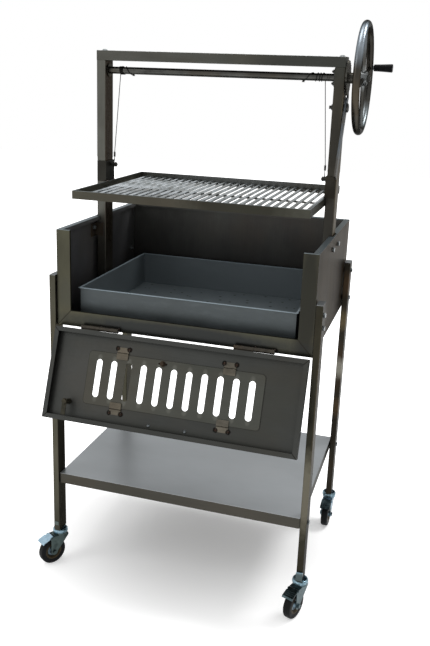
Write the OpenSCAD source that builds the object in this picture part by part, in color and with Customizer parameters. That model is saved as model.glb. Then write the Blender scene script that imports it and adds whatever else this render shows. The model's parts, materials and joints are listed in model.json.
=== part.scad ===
// Open-fire grill on a wheeled stand.
// A folded sheet firebox holds a loose charcoal pan, and a handwheel on a
// cross shaft winds two steel cables that lift the grate between two uprights.
// Millimetres, +Z up, front towards -Y, origin on the floor under the firebox.

/* [Firebox] */
// Outside width of the firebox
fire_w = 800; // [600:10:1000]
// Outside depth of the firebox
fire_d = 615; // [500:5:750]
// Height of the firebox walls
fire_h = 300; // [260:5:380]
// Height of the firebox underside above the floor
fire_z = 846; // [780:1:900]
// Thickness of the folded steel sheet
sheet = 2; // [1.5:0.5:3]
// Width of the two upright strips beside the front opening
stile_w = 44; // [36:1:54]
// Height of the rail under the front opening
rail_h = 48; // [36:1:60]
// Width of the folded flange along the wall tops
flange_w = 18; // [14:1:24]
// Depth of the lip that hangs from each top flange
lip_h = 12; // [6:1:20]
// Depth of the return behind the edges of the front opening
return_d = 6; // [4:1:10]

/* [Stand] */
// Width of the leg tube across the grill
leg_w = 20; // [16:1:30]
// Depth of the leg tube from front to back
leg_d = 50; // [30:1:54]
// Wall of the leg tube
leg_wall = 1.5; // [1:0.5:2.5]
// Thickness of the washers between the legs and the firebox
leg_gap = 2; // [1:0.5:4]
// Height of the leg bottoms above the floor
leg_bottom = 121; // [118:1:124]
// How far the legs reach up beside the firebox
leg_overlap = 159; // [120:1:200]
// How far the front legs stand ahead of the firebox
leg_ahead = 10.5; // [0:0.5:12]
// Distance from the back wall to the rear legs
leg_inset = 3.5; // [2:0.5:40]
// How far the shelf reaches ahead of the firebox
shelf_ahead = 2.5; // [0:0.5:6]
// How far the shelf stays inside the back wall
shelf_inset = 13.5; // [4:0.5:30]
// Height of the shelf surface above the floor
shelf_z = 333; // [280:1:420]
// Depth of the folded edge of the shelf
shelf_h = 35; // [25:1:50]
// Width of the return under the shelf edge
shelf_return = 12; // [8:1:20]

/* [Charcoal pan] */
// Width of the pan body
pan_w = 681; // [500:1:692]
// Depth of the pan body from front to back
pan_d = 537; // [440:1:545]
// Height of the pan
pan_h = 112; // [60:1:130]
// Width of the lip around the pan
pan_lip = 4.5; // [3:0.5:8]

/* [Gantry] */
// Width of an upright across the grill
upright_w = 30; // [25:1:36]
// Depth of an upright from front to back
upright_d = 60; // [50:1:70]
// Wall of the upright and crossbar tube
tube_wall = 2; // [1.5:0.5:3]
// Gap between an upright and the side wall
upright_gap = 6; // [4:1:10]
// Middle of the gantry behind the middle of the firebox
gantry_y = -2.5; // [-20:0.5:20]
// Height of the crossbar top above the floor
gantry_top = 1672; // [1640:1:1760]
// Height of the crossbar tube
crossbar_h = 30; // [25:1:36]
// Height of the angle brackets at the uprights
bracket_h = 44; // [30:1:50]
// Leg of the angle brackets along the wall
bracket_w = 38; // [30:1:50]
// Thickness of the angle brackets
bracket_t = 3; // [2:0.5:4]
// Distance from the wall top to the middle of a bracket
bracket_drop = 44; // [42:1:60]

/* [Lift shaft] */
// Outside diameter of the lift shaft
shaft_d = 22; // [20:1:26]
// Wall of the lift shaft tube
shaft_wall = 2; // [1.5:0.5:3]
// Distance from the crossbar top to the shaft axis
shaft_drop = 59; // [55:1:70]
// Diameter of the lifting cable
cable_d = 2; // [1.6:0.1:3]
// Diameter over the ratchet teeth
ratchet_d = 100; // [80:1:104]
// Number of ratchet teeth
ratchet_teeth = 24; // [16:1:32]
// Depth of a ratchet tooth
tooth_h = 5; // [3:0.5:6]
// Thickness of the ratchet and the pawl
ratchet_t = 5; // [4:0.5:6]
// Distance from the shaft axis down to the pawl pivot
pawl_drop = 85; // [82:1:94]
// Width of the bar that the pawl is made of
pawl_w = 30; // [26:1:32]
// Length of the pawl's tail, from the pivot to its end
pawl_tail = 223; // [160:1:230]
// Lean of the pawl's tail to the front, in degrees
pawl_lean = 29; // [26:1:31]

/* [Handwheel] */
// Radius to the middle of the handwheel rim
wheel_r = 151; // [120:1:170]
// Diameter of the handwheel rim
rim_d = 22; // [16:1:26]
// Diameter of a spoke
spoke_d = 12; // [8:1:14]
// Number of spokes
spokes = 4; // [3:1:6]
// Diameter of the handwheel hub
hub_d = 41; // [34:1:50]
// Length of the handwheel hub
hub_l = 24; // [20:1:30]
// Diameter of the boss between ratchet and hub
boss_d = 31; // [28:1:34]
// Distance from the upright to the middle of the rim
wheel_off = 49; // [44:1:60]
// Angle of the handle spoke above the horizontal
wheel_turn = 12.5; // [0:0.5:30]
// Length of the crank grip
grip_l = 57; // [45:1:80]
// Diameter of the crank grip at the rim
grip_d = 17; // [15:1:20]
// Diameter of the crank grip at its free end
grip_end_d = 22; // [20:1:26]
// Diameter of the crank spindle
spindle_d = 8; // [6:1:10]

/* [Grate] */
// Gap between the grate frame and each upright
grate_gap = 1; // [1:0.5:3]
// Depth of the grate from front to back
grate_d = 560; // [440:1:564]
// Middle of the grate behind the middle of the firebox
grate_y = 2; // [-4:1:3]
// Height of the grate top above the firebox top
grate_lift = 116; // [100:1:140]
// Height of the grate frame bar
bar_h = 25; // [22:1:32]
// Thickness of the grate frame bar
bar_t = 5; // [4:0.5:6]
// Diameter of a grate rod
rod_d = 10; // [8:1:12]
// Distance between rod centres
rod_pitch = 25; // [20:1:40]
// Thickness of the flats under the rods
flat_t = 3; // [2:0.5:4]
// Width of the flats under the rods
flat_w = 20; // [15:1:30]
// Number of flats under the rods
flats = 3; // [2:1:4]
// Height of a carriage above the grate
carriage_h = 66; // [50:1:70]
// Thickness of a carriage
carriage_t = 3; // [2:0.5:3]
// Clearance between a carriage and its upright
carriage_gap = 0.5; // [0.3:0.1:1]
// Distance from the carriage top to the cable bolt
stud_drop = 14; // [10:1:24]

/* [Door] */
// How much narrower the door is than the firebox
door_less = 8; // [4:1:20]
// Length of the door from the hinge edge to the free edge
door_h = 282; // [240:1:284]
// Thickness of the door tray
door_t = 22; // [16:1:24]
// Width of the lip around the door tray
door_lip = 14; // [8:1:20]
// Opening angle of the door as it hangs
door_open = 159; // [120:1:170]
// Diameter of a hinge knuckle
knuckle_d = 14; // [12:1:16]
// Length of a hinge knuckle
knuckle_l = 60; // [40:1:70]
// Distance from the door's hinge edge to the hinge axis
knuckle_off = 7.5; // [7.4:0.1:12]
// Height of the hinge axis above the firebox underside
hinge_up = 6; // [4:0.5:10]
// Gap between the closed door and the firebox
door_gap = 1; // [0.5:0.5:2]
// Middle of the left hinge
hinge_left_x = -252; // [-300:1:-200]
// Middle of the right hinge
hinge_right_x = 233; // [200:1:300]
// Number of vent slots
slots = 11; // [7:1:13]
// Distance between slot centres
slot_pitch = 48; // [42:1:52]
// Width of a vent slot
slot_w = 20; // [14:1:22]
// Length of a vent slot
slot_l = 116; // [90:1:124]
// Width of the sliding vent plate
vent_w = 554; // [520:1:600]
// Height of the sliding vent plate
vent_h = 163; // [150:1:170]
// Corner radius of the vent plate
vent_r = 12; // [5:1:20]
// Side of the square clips that hold the vent plate
clip_w = 37; // [30:1:44]
// Distance from the door middle to the clips
clip_x = 168; // [140:1:190]
// Distance between the screws of the door handle
handle_span = 114; // [90:1:140]
// Diameter of the door handle rod
handle_d = 10; // [8:1:12]
// Height of the door handle above the door
handle_h = 36; // [30:1:45]
// Distance from the end of the door to the latch spindle
latch_end = 74; // [64:1:80]
// Reach of the latch tongue
latch_l = 40; // [36:1:48]

/* [Casters] */
// Diameter of a caster wheel
caster_d = 90; // [80:1:92]
// Width of a caster tyre
tyre_w = 24; // [20:1:25]
// Diameter of the hub inside the tyre
hub_ring_d = 58; // [46:1:62]
// Distance from the swivel axis to the axle
trail = 33; // [25:1:38]
// Diameter of the swivel ring
ring_d = 50; // [44:1:54]
// Diameter of a caster axle
axle_d = 8; // [6:1:10]
// Height of the lock plate on the front right leg
lock_h = 29; // [20:1:34]
// Inside width of a caster fork
fork_in = 31; // [30:1:34]
// Thickness of the fork plates
fork_t = 2.5; // [2:0.5:3]
// Width of a brake pedal
pedal_w = 37; // [30:1:42]
// Way that the front left caster points
turn_fl = 237; // [180:1:360]
// Way that the front right caster points
turn_fr = 250; // [180:1:360]
// Way that the rear left caster points
turn_rl = 260; // [180:1:360]
// Way that the rear right caster points
turn_rr = 268; // [180:1:360]

/* [Fasteners] */
// Diameter of the main bolts
bolt_d = 8; // [6:1:8]
// Width across the corners of a bolt head
bolt_head_w = 15; // [13:0.5:16]
// Height of a bolt head
bolt_head_h = 5.3; // [4:0.1:6]
// Height of a nut
nut_h = 6.5; // [5:0.1:7]

/* [Hidden] */
$fn = 48;
running = 0.1;
bolt_room = 0.4;
corner_r = 2;
eps = 0.01;

steel = [0.47, 0.46, 0.42];
steel_dark = [0.36, 0.36, 0.34];
steel_bright = [0.66, 0.67, 0.68];
pan_blue = [0.45, 0.49, 0.54];
zinc = [0.55, 0.62, 0.68];
black = [0.08, 0.08, 0.09];
tan_hub = [0.45, 0.36, 0.18];

// Places worked out from the driving sizes
half_w = fire_w / 2;
half_d = fire_d / 2;
fire_top = fire_z + fire_h;
leg_top = fire_z + leg_overlap;
door_w = fire_w - door_less;
leg_x = half_w + leg_gap + leg_w / 2;
leg_front_y = -half_d - leg_ahead + leg_d / 2;
leg_rear_y = half_d - leg_inset - leg_d / 2;
floor_z = fire_z + 2 * sheet;
pan_top = floor_z + pan_h;

up_out = half_w - sheet - upright_gap;
up_in = up_out - upright_w;
up_mid = (up_out + up_in) / 2;
up_front = gantry_y - upright_d / 2;
up_back = gantry_y + upright_d / 2;
bracket_z = fire_top - bracket_drop;
bracket_bolt_z = bracket_z + 8;

shaft_z = gantry_top - shaft_drop;
shaft_r = shaft_d / 2;
wind_r = shaft_r + cable_d / 2 + 0.05;
hang_y = gantry_y + wind_r;
ratchet_x = up_out + 3;
rim_x = up_out + wheel_off;
hub_x = rim_x - hub_l / 2;
shaft_end = hub_x + hub_l - 1;
pawl_y = gantry_y;
pawl_z = shaft_z - pawl_drop;
handle_y = gantry_y + wheel_r * cos(wheel_turn);
handle_z = shaft_z + wheel_r * sin(wheel_turn);
collar_x = rim_x + rim_d / 2;
collar_l = 1.5;
grip_x = collar_x + collar_l + 0.5;

grate_top = fire_top + grate_lift;
grate_x = up_in - grate_gap;
rod_z = grate_top - bar_h + flat_t + rod_d / 2;
carriage_x = up_in - carriage_gap;
carriage_top = grate_top + carriage_h;
stud_z = carriage_top - stud_drop;
stud_l = 20;
eye_x = carriage_x - carriage_t - 10.5;
ferrule_z = stud_z + 26;
ferrule_l = 15;

hinge_y = -half_d - door_gap - 10;
hinge_z = fire_z + hinge_up;
door_in = -half_d - door_gap - hinge_y;
door_out = door_in - door_t;
panel_in = door_out + sheet;
vent_gap = 0.3;
vent_in = panel_in + vent_gap + sheet;
vent_z = knuckle_off + door_h / 2;
clip_t = 3;
clip_low_z = vent_z - vent_h / 2;
clip_high_z = vent_z + vent_h / 2;
knob_x = -38;
knob_travel = 26;
knob_z = vent_z - slot_l / 2 - 12;
latch_x = door_w / 2 - latch_end;
latch_z = knuckle_off + door_h - 58;
tongue_y = door_in + door_gap + sheet + return_d + 3;
handle_mid_z = knuckle_off + door_h - 24;

ring_z = leg_bottom - 17;
axle_z = caster_d / 2;
crown_z = ring_z - 6;
plug_h = 18;
kingpin_d = 12;
pedal_x = trail + 5;
pedal_z = axle_z + 52;

// Fixed sizes of small turned parts
sleeve_d = shaft_d + 4;
sleeve_l = 10;
bush_d = 40;
bush_t = 3;
flange_screw = 17;
pivot_d = 10;
grub_x = up_in - 20;
grub_d = 6;
post_d = 6;
pin_d = 8;
latch_d = 10;
knob_stud_d = 8;

// Pawl nose just outside the teeth, as distances along and across the arm
pawl_bite = 3.5;
nose_r = ratchet_d / 2 + 0.5;
nose_e = -3;
centre_s = pawl_drop * cos(pawl_lean);
centre_e = pawl_drop * sin(pawl_lean);
nose_s = centre_s - sqrt(pow(nose_r, 2) - pow(centre_e - nose_e, 2));
nose_slope = (centre_s - nose_s) / (centre_e - nose_e);
clear_s = centre_s - sqrt(pow(nose_r + 1, 2) - pow(centre_e - pawl_w / 2, 2)) - 4;
function on_pawl(s, e) = s * [sin(pawl_lean), cos(pawl_lean)]
  + e * [-cos(pawl_lean), sin(pawl_lean)];
function turned(p, a) = [p[0] * cos(a) - p[1] * sin(a), p[0] * sin(a) + p[1] * cos(a)];
caught = turned(on_pawl(nose_s, nose_e), pawl_bite) - [0, pawl_drop];
tooth_phase = atan2(caught[1], caught[0]) + 0.4;

// Axis directions
module along_x() rotate([0, 90, 0]) children();
module along_y() rotate([-90, 0, 0]) children();

// Both sides of the grill, the second one mirrored
module both_sides() {
  children();
  mirror([1, 0, 0]) children();
}

// Square bar with rounded corners, standing on the floor plane
module rounded_bar(w, d, h, r) {
  linear_extrude(h) union() {
    square([w - 2 * r, d], center = true);
    square([w, d - 2 * r], center = true);
    for (sx = [-1, 1], sy = [-1, 1])
      translate([sx * (w / 2 - r), sy * (d / 2 - r)]) circle(r, $fn = 24);
  }
}

// Square or rectangular tube, open at both ends
module box_tube(w, d, h, wall) {
  difference() {
    rounded_bar(w, d, h, corner_r);
    translate([0, 0, -1])
      linear_extrude(h + 2) square([w - 2 * wall, d - 2 * wall], center = true);
  }
}

// Hexagonal prism along +Z, as a bolt head or a nut
module hex(w, h) cylinder(d = w, h = h, $fn = 6);

// Bolt whose head stands on the floor plane and whose shank points down
module hex_bolt(d, len) {
  hex(bolt_head_w, bolt_head_h);
  translate([0, 0, -len]) cylinder(d = d, h = len + eps);
}

// The same with a low domed head
module dome_bolt(d, len) {
  cylinder(d = 17, h = 1.5);
  translate([0, 0, 1.5]) cylinder(d1 = 17, d2 = 13, h = 1.8);
  translate([0, 0, 3.3]) cylinder(d1 = 13, d2 = 6, h = 1.4);
  translate([0, 0, -len]) cylinder(d = d, h = len + eps);
}

// Nut that stands on the floor plane with a bore for the bolt
module hex_nut(d) {
  difference() {
    hex(bolt_head_w, nut_h);
    translate([0, 0, -1]) cylinder(d = d + bolt_room, h = nut_h + 2);
  }
}

// Pill-shaped prism along +Z, long in Y
module pill(w, l, h) {
  linear_extrude(h) union() {
    square([w, l - w], center = true);
    for (s = [-1, 1]) translate([0, s * (l - w) / 2]) circle(d = w, $fn = 32);
  }
}

// Plate with round corners standing in the X-Z plane, thick along +Y
module round_plate(w, h, t, r) {
  rotate([90, 0, 0]) translate([0, 0, -t]) rounded_bar(w, h, t, r);
}

// Places of the leg bolts on one side: y and z of each
leg_bolts = [
  [leg_front_y, leg_top - 34], [leg_front_y, leg_top - 72],
  [leg_rear_y, leg_top - 30], [leg_rear_y, leg_top - 128]
];
shelf_bolts = [
  [leg_front_y, shelf_z - shelf_h / 2], [leg_rear_y, shelf_z - shelf_h / 2]
];
bracket_bolt_y = [
  up_front - bracket_t - bracket_w / 2 + 1, up_back + bracket_t + bracket_w / 2 - 1
];

// Legs
module leg_with_cap(y) {
  difference() {
    union() {
      translate([leg_x, y, leg_bottom])
        box_tube(leg_w, leg_d, leg_top - leg_bottom - sheet, leg_wall);
      translate([leg_x, y, leg_top - sheet])
        rounded_bar(leg_w, leg_d, sheet, corner_r);
    }
    for (b = concat(leg_bolts, shelf_bolts))
      if (b[0] == y)
        translate([half_w + leg_gap - 1, y, b[1]]) along_x()
          cylinder(d = bolt_d + bolt_room, h = leg_w + 2);
  }
}
module leg_front_left() color(steel) mirror([1, 0, 0]) leg_with_cap(leg_front_y);
module leg_front_right() color(steel) leg_with_cap(leg_front_y);
module leg_rear_left() color(steel) mirror([1, 0, 0]) leg_with_cap(leg_rear_y);
module leg_rear_right() color(steel) leg_with_cap(leg_rear_y);

// Shelf, a folded tray that opens downwards between the legs
module shelf() {
  front = -half_d - shelf_ahead;
  back = half_d - shelf_inset;
  depth = back - front;
  color(steel_bright) difference() {
    translate([-half_w, front, shelf_z - shelf_h]) cube([fire_w, depth, shelf_h]);
    translate([-half_w + sheet, front + sheet, shelf_z - shelf_h + sheet])
      cube([fire_w - 2 * sheet, depth - 2 * sheet, shelf_h - 2 * sheet]);
    translate([-half_w + shelf_return, front + shelf_return, shelf_z - shelf_h - 1])
      cube([fire_w - 2 * shelf_return, depth - 2 * shelf_return, sheet + 2]);
    for (b = shelf_bolts, s = [-1, 1])
      translate([s * half_w, b[0], b[1]]) along_x()
        cylinder(d = bolt_d + bolt_room, h = 4 * sheet, center = true);
  }
}

// Bolts, nuts and washers of the stand, the brackets and the crossbar
module frame_bolts() {
  color(zinc) {
    both_sides() {
      for (b = leg_bolts)
        translate([half_w + leg_gap + leg_w, b[0], b[1]]) along_x()
          hex_bolt(bolt_d, leg_w + leg_gap + sheet + nut_h + 2);
      for (b = shelf_bolts)
        translate([half_w + leg_gap + leg_w, b[0], b[1]]) along_x()
          hex_bolt(bolt_d, leg_w + leg_gap + sheet + nut_h + 2);
      for (y = bracket_bolt_y)
        translate([half_w, y, bracket_bolt_z]) along_x()
          hex_bolt(bolt_d, sheet + bracket_t + nut_h + 2);
      translate([up_mid, gantry_y, gantry_top])
        dome_bolt(bolt_d, crossbar_h + tube_wall + nut_h + 2);
    }
  }
}
module frame_nuts() {
  color(zinc) {
    both_sides() {
      for (b = concat(leg_bolts, shelf_bolts))
        translate([half_w - sheet - nut_h, b[0], b[1]]) along_x() hex_nut(bolt_d);
      for (b = concat(leg_bolts, shelf_bolts))
        translate([half_w, b[0], b[1]]) along_x() difference() {
          cylinder(d = 2 * bolt_d, h = leg_gap);
          translate([0, 0, -1]) cylinder(d = bolt_d + bolt_room, h = leg_gap + 2);
        }
      for (y = bracket_bolt_y)
        translate([half_w - sheet - bracket_t - nut_h, y, bracket_bolt_z])
          along_x() hex_nut(bolt_d);
      translate([up_mid, gantry_y, gantry_top - crossbar_h - tube_wall - nut_h])
        hex_nut(bolt_d);
    }
  }
}

// Right side wall: a channel with a top flange, its lip and a bottom flange
module side_wall() {
  depth = fire_d - 2 * sheet;
  difference() {
    union() {
      translate([half_w - sheet, -depth / 2, fire_z]) cube([sheet, depth, fire_h]);
      translate([half_w - flange_w, -depth / 2, fire_top - sheet])
        cube([flange_w, depth - flange_w, sheet]);
      translate([half_w - flange_w, -depth / 2, fire_top - lip_h])
        cube([sheet, depth - flange_w, lip_h]);
      translate([half_w - flange_w, -depth / 2, fire_z])
        cube([flange_w, depth, sheet]);
    }
    translate([half_w - flange_w - 1, up_front - 2, fire_top - lip_h - 1])
      cube([flange_w - sheet - 1, upright_d + 4, lip_h + 2]);
    for (b = leg_bolts)
      translate([half_w - sheet - 1, b[0], b[1]]) along_x()
        cylinder(d = bolt_d + bolt_room, h = sheet + 2);
    for (y = bracket_bolt_y)
      translate([half_w - sheet - 1, y, bracket_bolt_z]) along_x()
        cylinder(d = bolt_d + bolt_room, h = sheet + 2);
  }
}
module firebox_left_wall() color(steel) mirror([1, 0, 0]) side_wall();
module firebox_right_wall() color(steel) side_wall();

// Back wall with its top flange, lip and bottom flange
module firebox_back_wall() {
  inner = fire_w - 2 * flange_w;
  color(steel) {
    translate([-half_w, half_d - sheet, fire_z]) cube([fire_w, sheet, fire_h]);
    translate([-half_w + sheet, half_d - sheet - flange_w, fire_top - sheet])
      cube([fire_w - 2 * sheet, flange_w, sheet]);
    translate([-inner / 2, half_d - sheet - flange_w, fire_top - lip_h])
      cube([inner, sheet, lip_h]);
  }
}

// Floor sheet resting on the bottom flanges
module firebox_floor() {
  color(steel_dark)
    translate([-half_w + sheet, -half_d + sheet, fire_z + sheet])
      cube([fire_w - 2 * sheet, fire_d - 2 * sheet, sheet]);
}

// Front frame: two strips and a rail with mitred corners and small returns
module stile() {
  front = -half_d;
  open_x = half_w - stile_w;
  rotate([90, 0, 0]) translate([0, 0, half_d - sheet]) linear_extrude(sheet)
    polygon([[half_w, fire_z], [half_w, fire_top], [open_x, fire_top],
             [open_x, fire_z + rail_h]]);
  translate([open_x, front + sheet, fire_z + rail_h])
    cube([sheet, return_d, fire_h - rail_h]);
  translate([open_x + sheet, front + sheet, fire_top - sheet])
    cube([stile_w - flange_w - sheet, return_d, sheet]);
}
module front_frame() {
  open_x = half_w - stile_w;
  color(steel) {
    both_sides() stile();
    rotate([90, 0, 0]) translate([0, 0, half_d - sheet]) linear_extrude(sheet)
      polygon([[-half_w, fire_z], [half_w, fire_z], [open_x, fire_z + rail_h],
               [-open_x, fire_z + rail_h]]);
    translate([-open_x - sheet, -half_d + sheet, fire_z + rail_h - sheet])
      cube([2 * open_x + 2 * sheet, return_d, sheet]);
  }
}

// Uprights: rectangular tubes with closed tops
module upright() {
  low = floor_z;
  high = gantry_top - crossbar_h;
  difference() {
    union() {
      translate([up_mid, gantry_y, low])
        box_tube(upright_w, upright_d, high - low - tube_wall, tube_wall);
      translate([up_mid, gantry_y, high - tube_wall])
        rounded_bar(upright_w, upright_d, tube_wall, corner_r);
    }
    translate([up_mid, gantry_y, high - tube_wall - 1])
      cylinder(d = bolt_d + bolt_room, h = tube_wall + 2);
  }
}
module upright_left() {
  color(steel) difference() {
    mirror([1, 0, 0]) upright();
    translate([-up_in - tube_wall - 1, gantry_y, shaft_z]) along_x()
      cylinder(d = sleeve_d + running, h = tube_wall + 2);
  }
}
module upright_right() {
  color(steel) difference() {
    upright();
    translate([up_in - 1, gantry_y, shaft_z]) along_x()
      cylinder(d = sleeve_d + running, h = upright_w + 2);
    for (s = [-1, 1])
      translate([up_in - 1, gantry_y, shaft_z + s * flange_screw]) along_x()
        cylinder(d = 6 + bolt_room, h = tube_wall + 2);
    translate([up_in - 1, pawl_y, pawl_z]) along_x()
      cylinder(d = pivot_d + bolt_room, h = upright_w + 2);
  }
}

// Crossbar: a tube with closed ends over both uprights
module crossbar() {
  reach = up_out;
  color(steel) difference() {
    translate([-reach, gantry_y, gantry_top - crossbar_h / 2]) rotate([0, 90, 0])
      rounded_bar(crossbar_h, upright_d, 2 * reach, corner_r);
    translate([-reach + tube_wall, gantry_y - upright_d / 2 + tube_wall,
               gantry_top - crossbar_h + tube_wall])
      cube([2 * reach - 2 * tube_wall, upright_d - 2 * tube_wall,
            crossbar_h - 2 * tube_wall]);
    for (s = [-1, 1])
      translate([s * up_mid, gantry_y, gantry_top - crossbar_h - 1])
        cylinder(d = bolt_d + bolt_room, h = crossbar_h + 2);
  }
}

// Angle brackets, welded to the uprights and bolted to the side walls
module bracket() {
  wall_x = half_w - sheet;
  translate([0, 0, bracket_z - bracket_h / 2]) {
    translate([up_in + 6, -bracket_t, 0]) cube([wall_x - up_in - 6, bracket_t, bracket_h]);
    translate([wall_x - bracket_t, -bracket_w, 0]) cube([bracket_t, bracket_w, bracket_h]);
  }
}
module upright_brackets() {
  color(steel_dark) both_sides() {
    difference() {
      translate([0, up_front, 0]) bracket();
      translate([half_w - sheet - bracket_t - 1, bracket_bolt_y[0], bracket_bolt_z])
        along_x() cylinder(d = bolt_d + bolt_room, h = bracket_t + 2);
    }
    difference() {
      translate([0, up_back, 0]) mirror([0, 1, 0]) bracket();
      translate([half_w - sheet - bracket_t - 1, bracket_bolt_y[1], bracket_bolt_z])
        along_x() cylinder(d = bolt_d + bolt_room, h = bracket_t + 2);
    }
  }
}

// Flanged bush along +X: the flange stands on the floor plane, the sleeve above
module bush(flange, thick, sleeve) {
  difference() {
    union() {
      cylinder(d = flange, h = thick);
      cylinder(d = sleeve_d, h = thick + sleeve);
    }
    translate([0, 0, -1]) cylinder(d = shaft_d + running, h = thick + sleeve + 2);
  }
}
module shaft_bush_left() {
  color(steel_bright) translate([-up_in + bush_t, gantry_y, shaft_z])
    rotate([0, -90, 0]) bush(bush_d, bush_t, sleeve_l);
}
module shaft_bearing() {
  plate_t = bush_t + 1;
  color(steel_bright) {
    difference() {
      union() {
        translate([up_in - plate_t, gantry_y, shaft_z]) along_x()
          rotate([0, 0, 90]) pill(bush_d - 8, bush_d + 16, plate_t);
        translate([up_in - plate_t, gantry_y, shaft_z]) along_x()
          cylinder(d = sleeve_d, h = plate_t + sleeve_l);
      }
      translate([up_in - plate_t - 1, gantry_y, shaft_z]) along_x()
        cylinder(d = shaft_d + running, h = plate_t + sleeve_l + 2);
      for (s = [-1, 1])
        translate([up_in - plate_t - 1, gantry_y, shaft_z + s * flange_screw])
          along_x() cylinder(d = 6 + bolt_room, h = plate_t + 2);
    }
    translate([up_out + bush_t, gantry_y, shaft_z]) rotate([0, -90, 0])
      bush(bush_d, bush_t, sleeve_l);
  }
}
module bearing_screws() {
  plate_t = bush_t + 1;
  color(zinc) for (s = [-1, 1]) {
    translate([up_in - 12, gantry_y, shaft_z + s * flange_screw]) along_x()
      cylinder(d = 6, h = 12 + tube_wall);
    translate([up_in + tube_wall, gantry_y, shaft_z + s * flange_screw]) along_x()
      cylinder(d = 7.6, h = 4);
    translate([up_in - plate_t - 5, gantry_y, shaft_z + s * flange_screw]) along_x()
      difference() {
        cylinder(d = 11, h = 5, $fn = 6);
        translate([0, 0, -1]) cylinder(d = 6 + bolt_room, h = 7);
      }
  }
}

// Lift shaft, with holes for the grub screw and the two cable posts
module lift_shaft() {
  left = -up_in - bush_t - 8;
  right = ratchet_x;
  color(steel_bright) difference() {
    translate([left, gantry_y, shaft_z]) along_x() cylinder(d = shaft_d, h = right - left);
    translate([left - 1, gantry_y, shaft_z]) along_x()
      cylinder(d = shaft_d - 2 * shaft_wall, h = right - left + 2);
    translate([grub_x, gantry_y, shaft_z]) rotate([90, 0, 0])
      cylinder(d = grub_d + bolt_room, h = shaft_d);
    for (s = [1, -1])
      translate([post_at(s)[0], post_at(s)[1], shaft_z - shaft_d])
        cylinder(d = post_d + bolt_room, h = shaft_d);
  }
}

// Solid stub pinned inside the shaft end, with the nut that holds the handwheel
module drive_stub() {
  stub_d = shaft_d - 2 * shaft_wall - running;
  start = grub_x - 12;
  color(steel_bright) {
    difference() {
      union() {
        translate([start, gantry_y, shaft_z]) along_x()
          cylinder(d = stub_d, h = hub_x - start);
        translate([hub_x - 1, gantry_y, shaft_z]) along_x()
          cylinder(d = 12, h = hub_l + 10);
      }
      translate([grub_x, gantry_y - 4, shaft_z]) rotate([90, 0, 0])
        cylinder(d = grub_d + bolt_room, h = shaft_d);
    }
    translate([hub_x + hub_l, gantry_y, shaft_z]) along_x() difference() {
      cylinder(d = 20, h = 7, $fn = 6);
      translate([0, 0, -1]) cylinder(d = 12 + bolt_room, h = 9);
    }
  }
}

// Ratchet wheel with its boss
function tooth(i) = let (
    step = 360 / ratchet_teeth,
    a = tooth_phase + i * step,
    outer = ratchet_d / 2,
    root = outer - tooth_h)
  [root * [cos(a), sin(a)], outer * [cos(a + 0.5), sin(a + 0.5)]];
module ratchet_wheel() {
  outline = [for (i = [0:ratchet_teeth - 1]) each tooth(i)];
  color(steel_bright) difference() {
    union() {
      translate([ratchet_x, gantry_y, shaft_z]) rotate([90, 0, 90])
        linear_extrude(ratchet_t) polygon(outline);
      translate([ratchet_x, gantry_y, shaft_z]) along_x()
        cylinder(d = boss_d, h = hub_x - ratchet_x);
    }
    translate([ratchet_x - 1, gantry_y, shaft_z]) along_x()
      cylinder(d = shaft_d - 2 * shaft_wall, h = hub_x - ratchet_x + 2);
  }
}

// Pawl: one flat bar on a bolt. Its nose stands clear of the teeth behind the
// ratchet and swings in to catch them; its tail, in front, is pulled to free it.
module pawl() {
  half = pawl_w / 2;
  outline = [
    on_pawl(nose_s, nose_e), on_pawl(clear_s + 8, nose_e), on_pawl(clear_s, half),
    on_pawl(4 - pawl_tail, half), on_pawl(-pawl_tail, half - 4),
    on_pawl(-pawl_tail, 4 - half), on_pawl(4 - pawl_tail, -half),
    on_pawl(nose_s - (nose_e + half) * nose_slope, -half)
  ];
  color(steel_dark) difference() {
    translate([ratchet_x, pawl_y, pawl_z]) rotate([90, 0, 90])
      linear_extrude(ratchet_t) polygon(outline);
    translate([ratchet_x - 1, pawl_y, pawl_z]) along_x()
      cylinder(d = pivot_d + running, h = ratchet_t + 2);
  }
}
module pawl_bolt() {
  head_x = ratchet_x + ratchet_t + 0.3;
  color(zinc) translate([0, pawl_y, pawl_z]) {
    translate([up_in - 13, 0, 0]) along_x() cylinder(d = pivot_d, h = head_x - up_in + 13);
    translate([head_x, 0, 0]) along_x() cylinder(d = 27, h = 4);
    translate([head_x + 4, 0, 0]) along_x() cylinder(d1 = 27, d2 = 20, h = 2);
    translate([up_out, 0, 0]) along_x() difference() {
      cylinder(d = 20, h = 3);
      translate([0, 0, -1]) cylinder(d = pivot_d + bolt_room, h = 5);
    }
    translate([up_in - nut_h, 0, 0]) along_x() difference() {
      cylinder(d = 17, h = nut_h, $fn = 6);
      translate([0, 0, -1]) cylinder(d = pivot_d + bolt_room, h = nut_h + 2);
    }
  }
}

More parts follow.
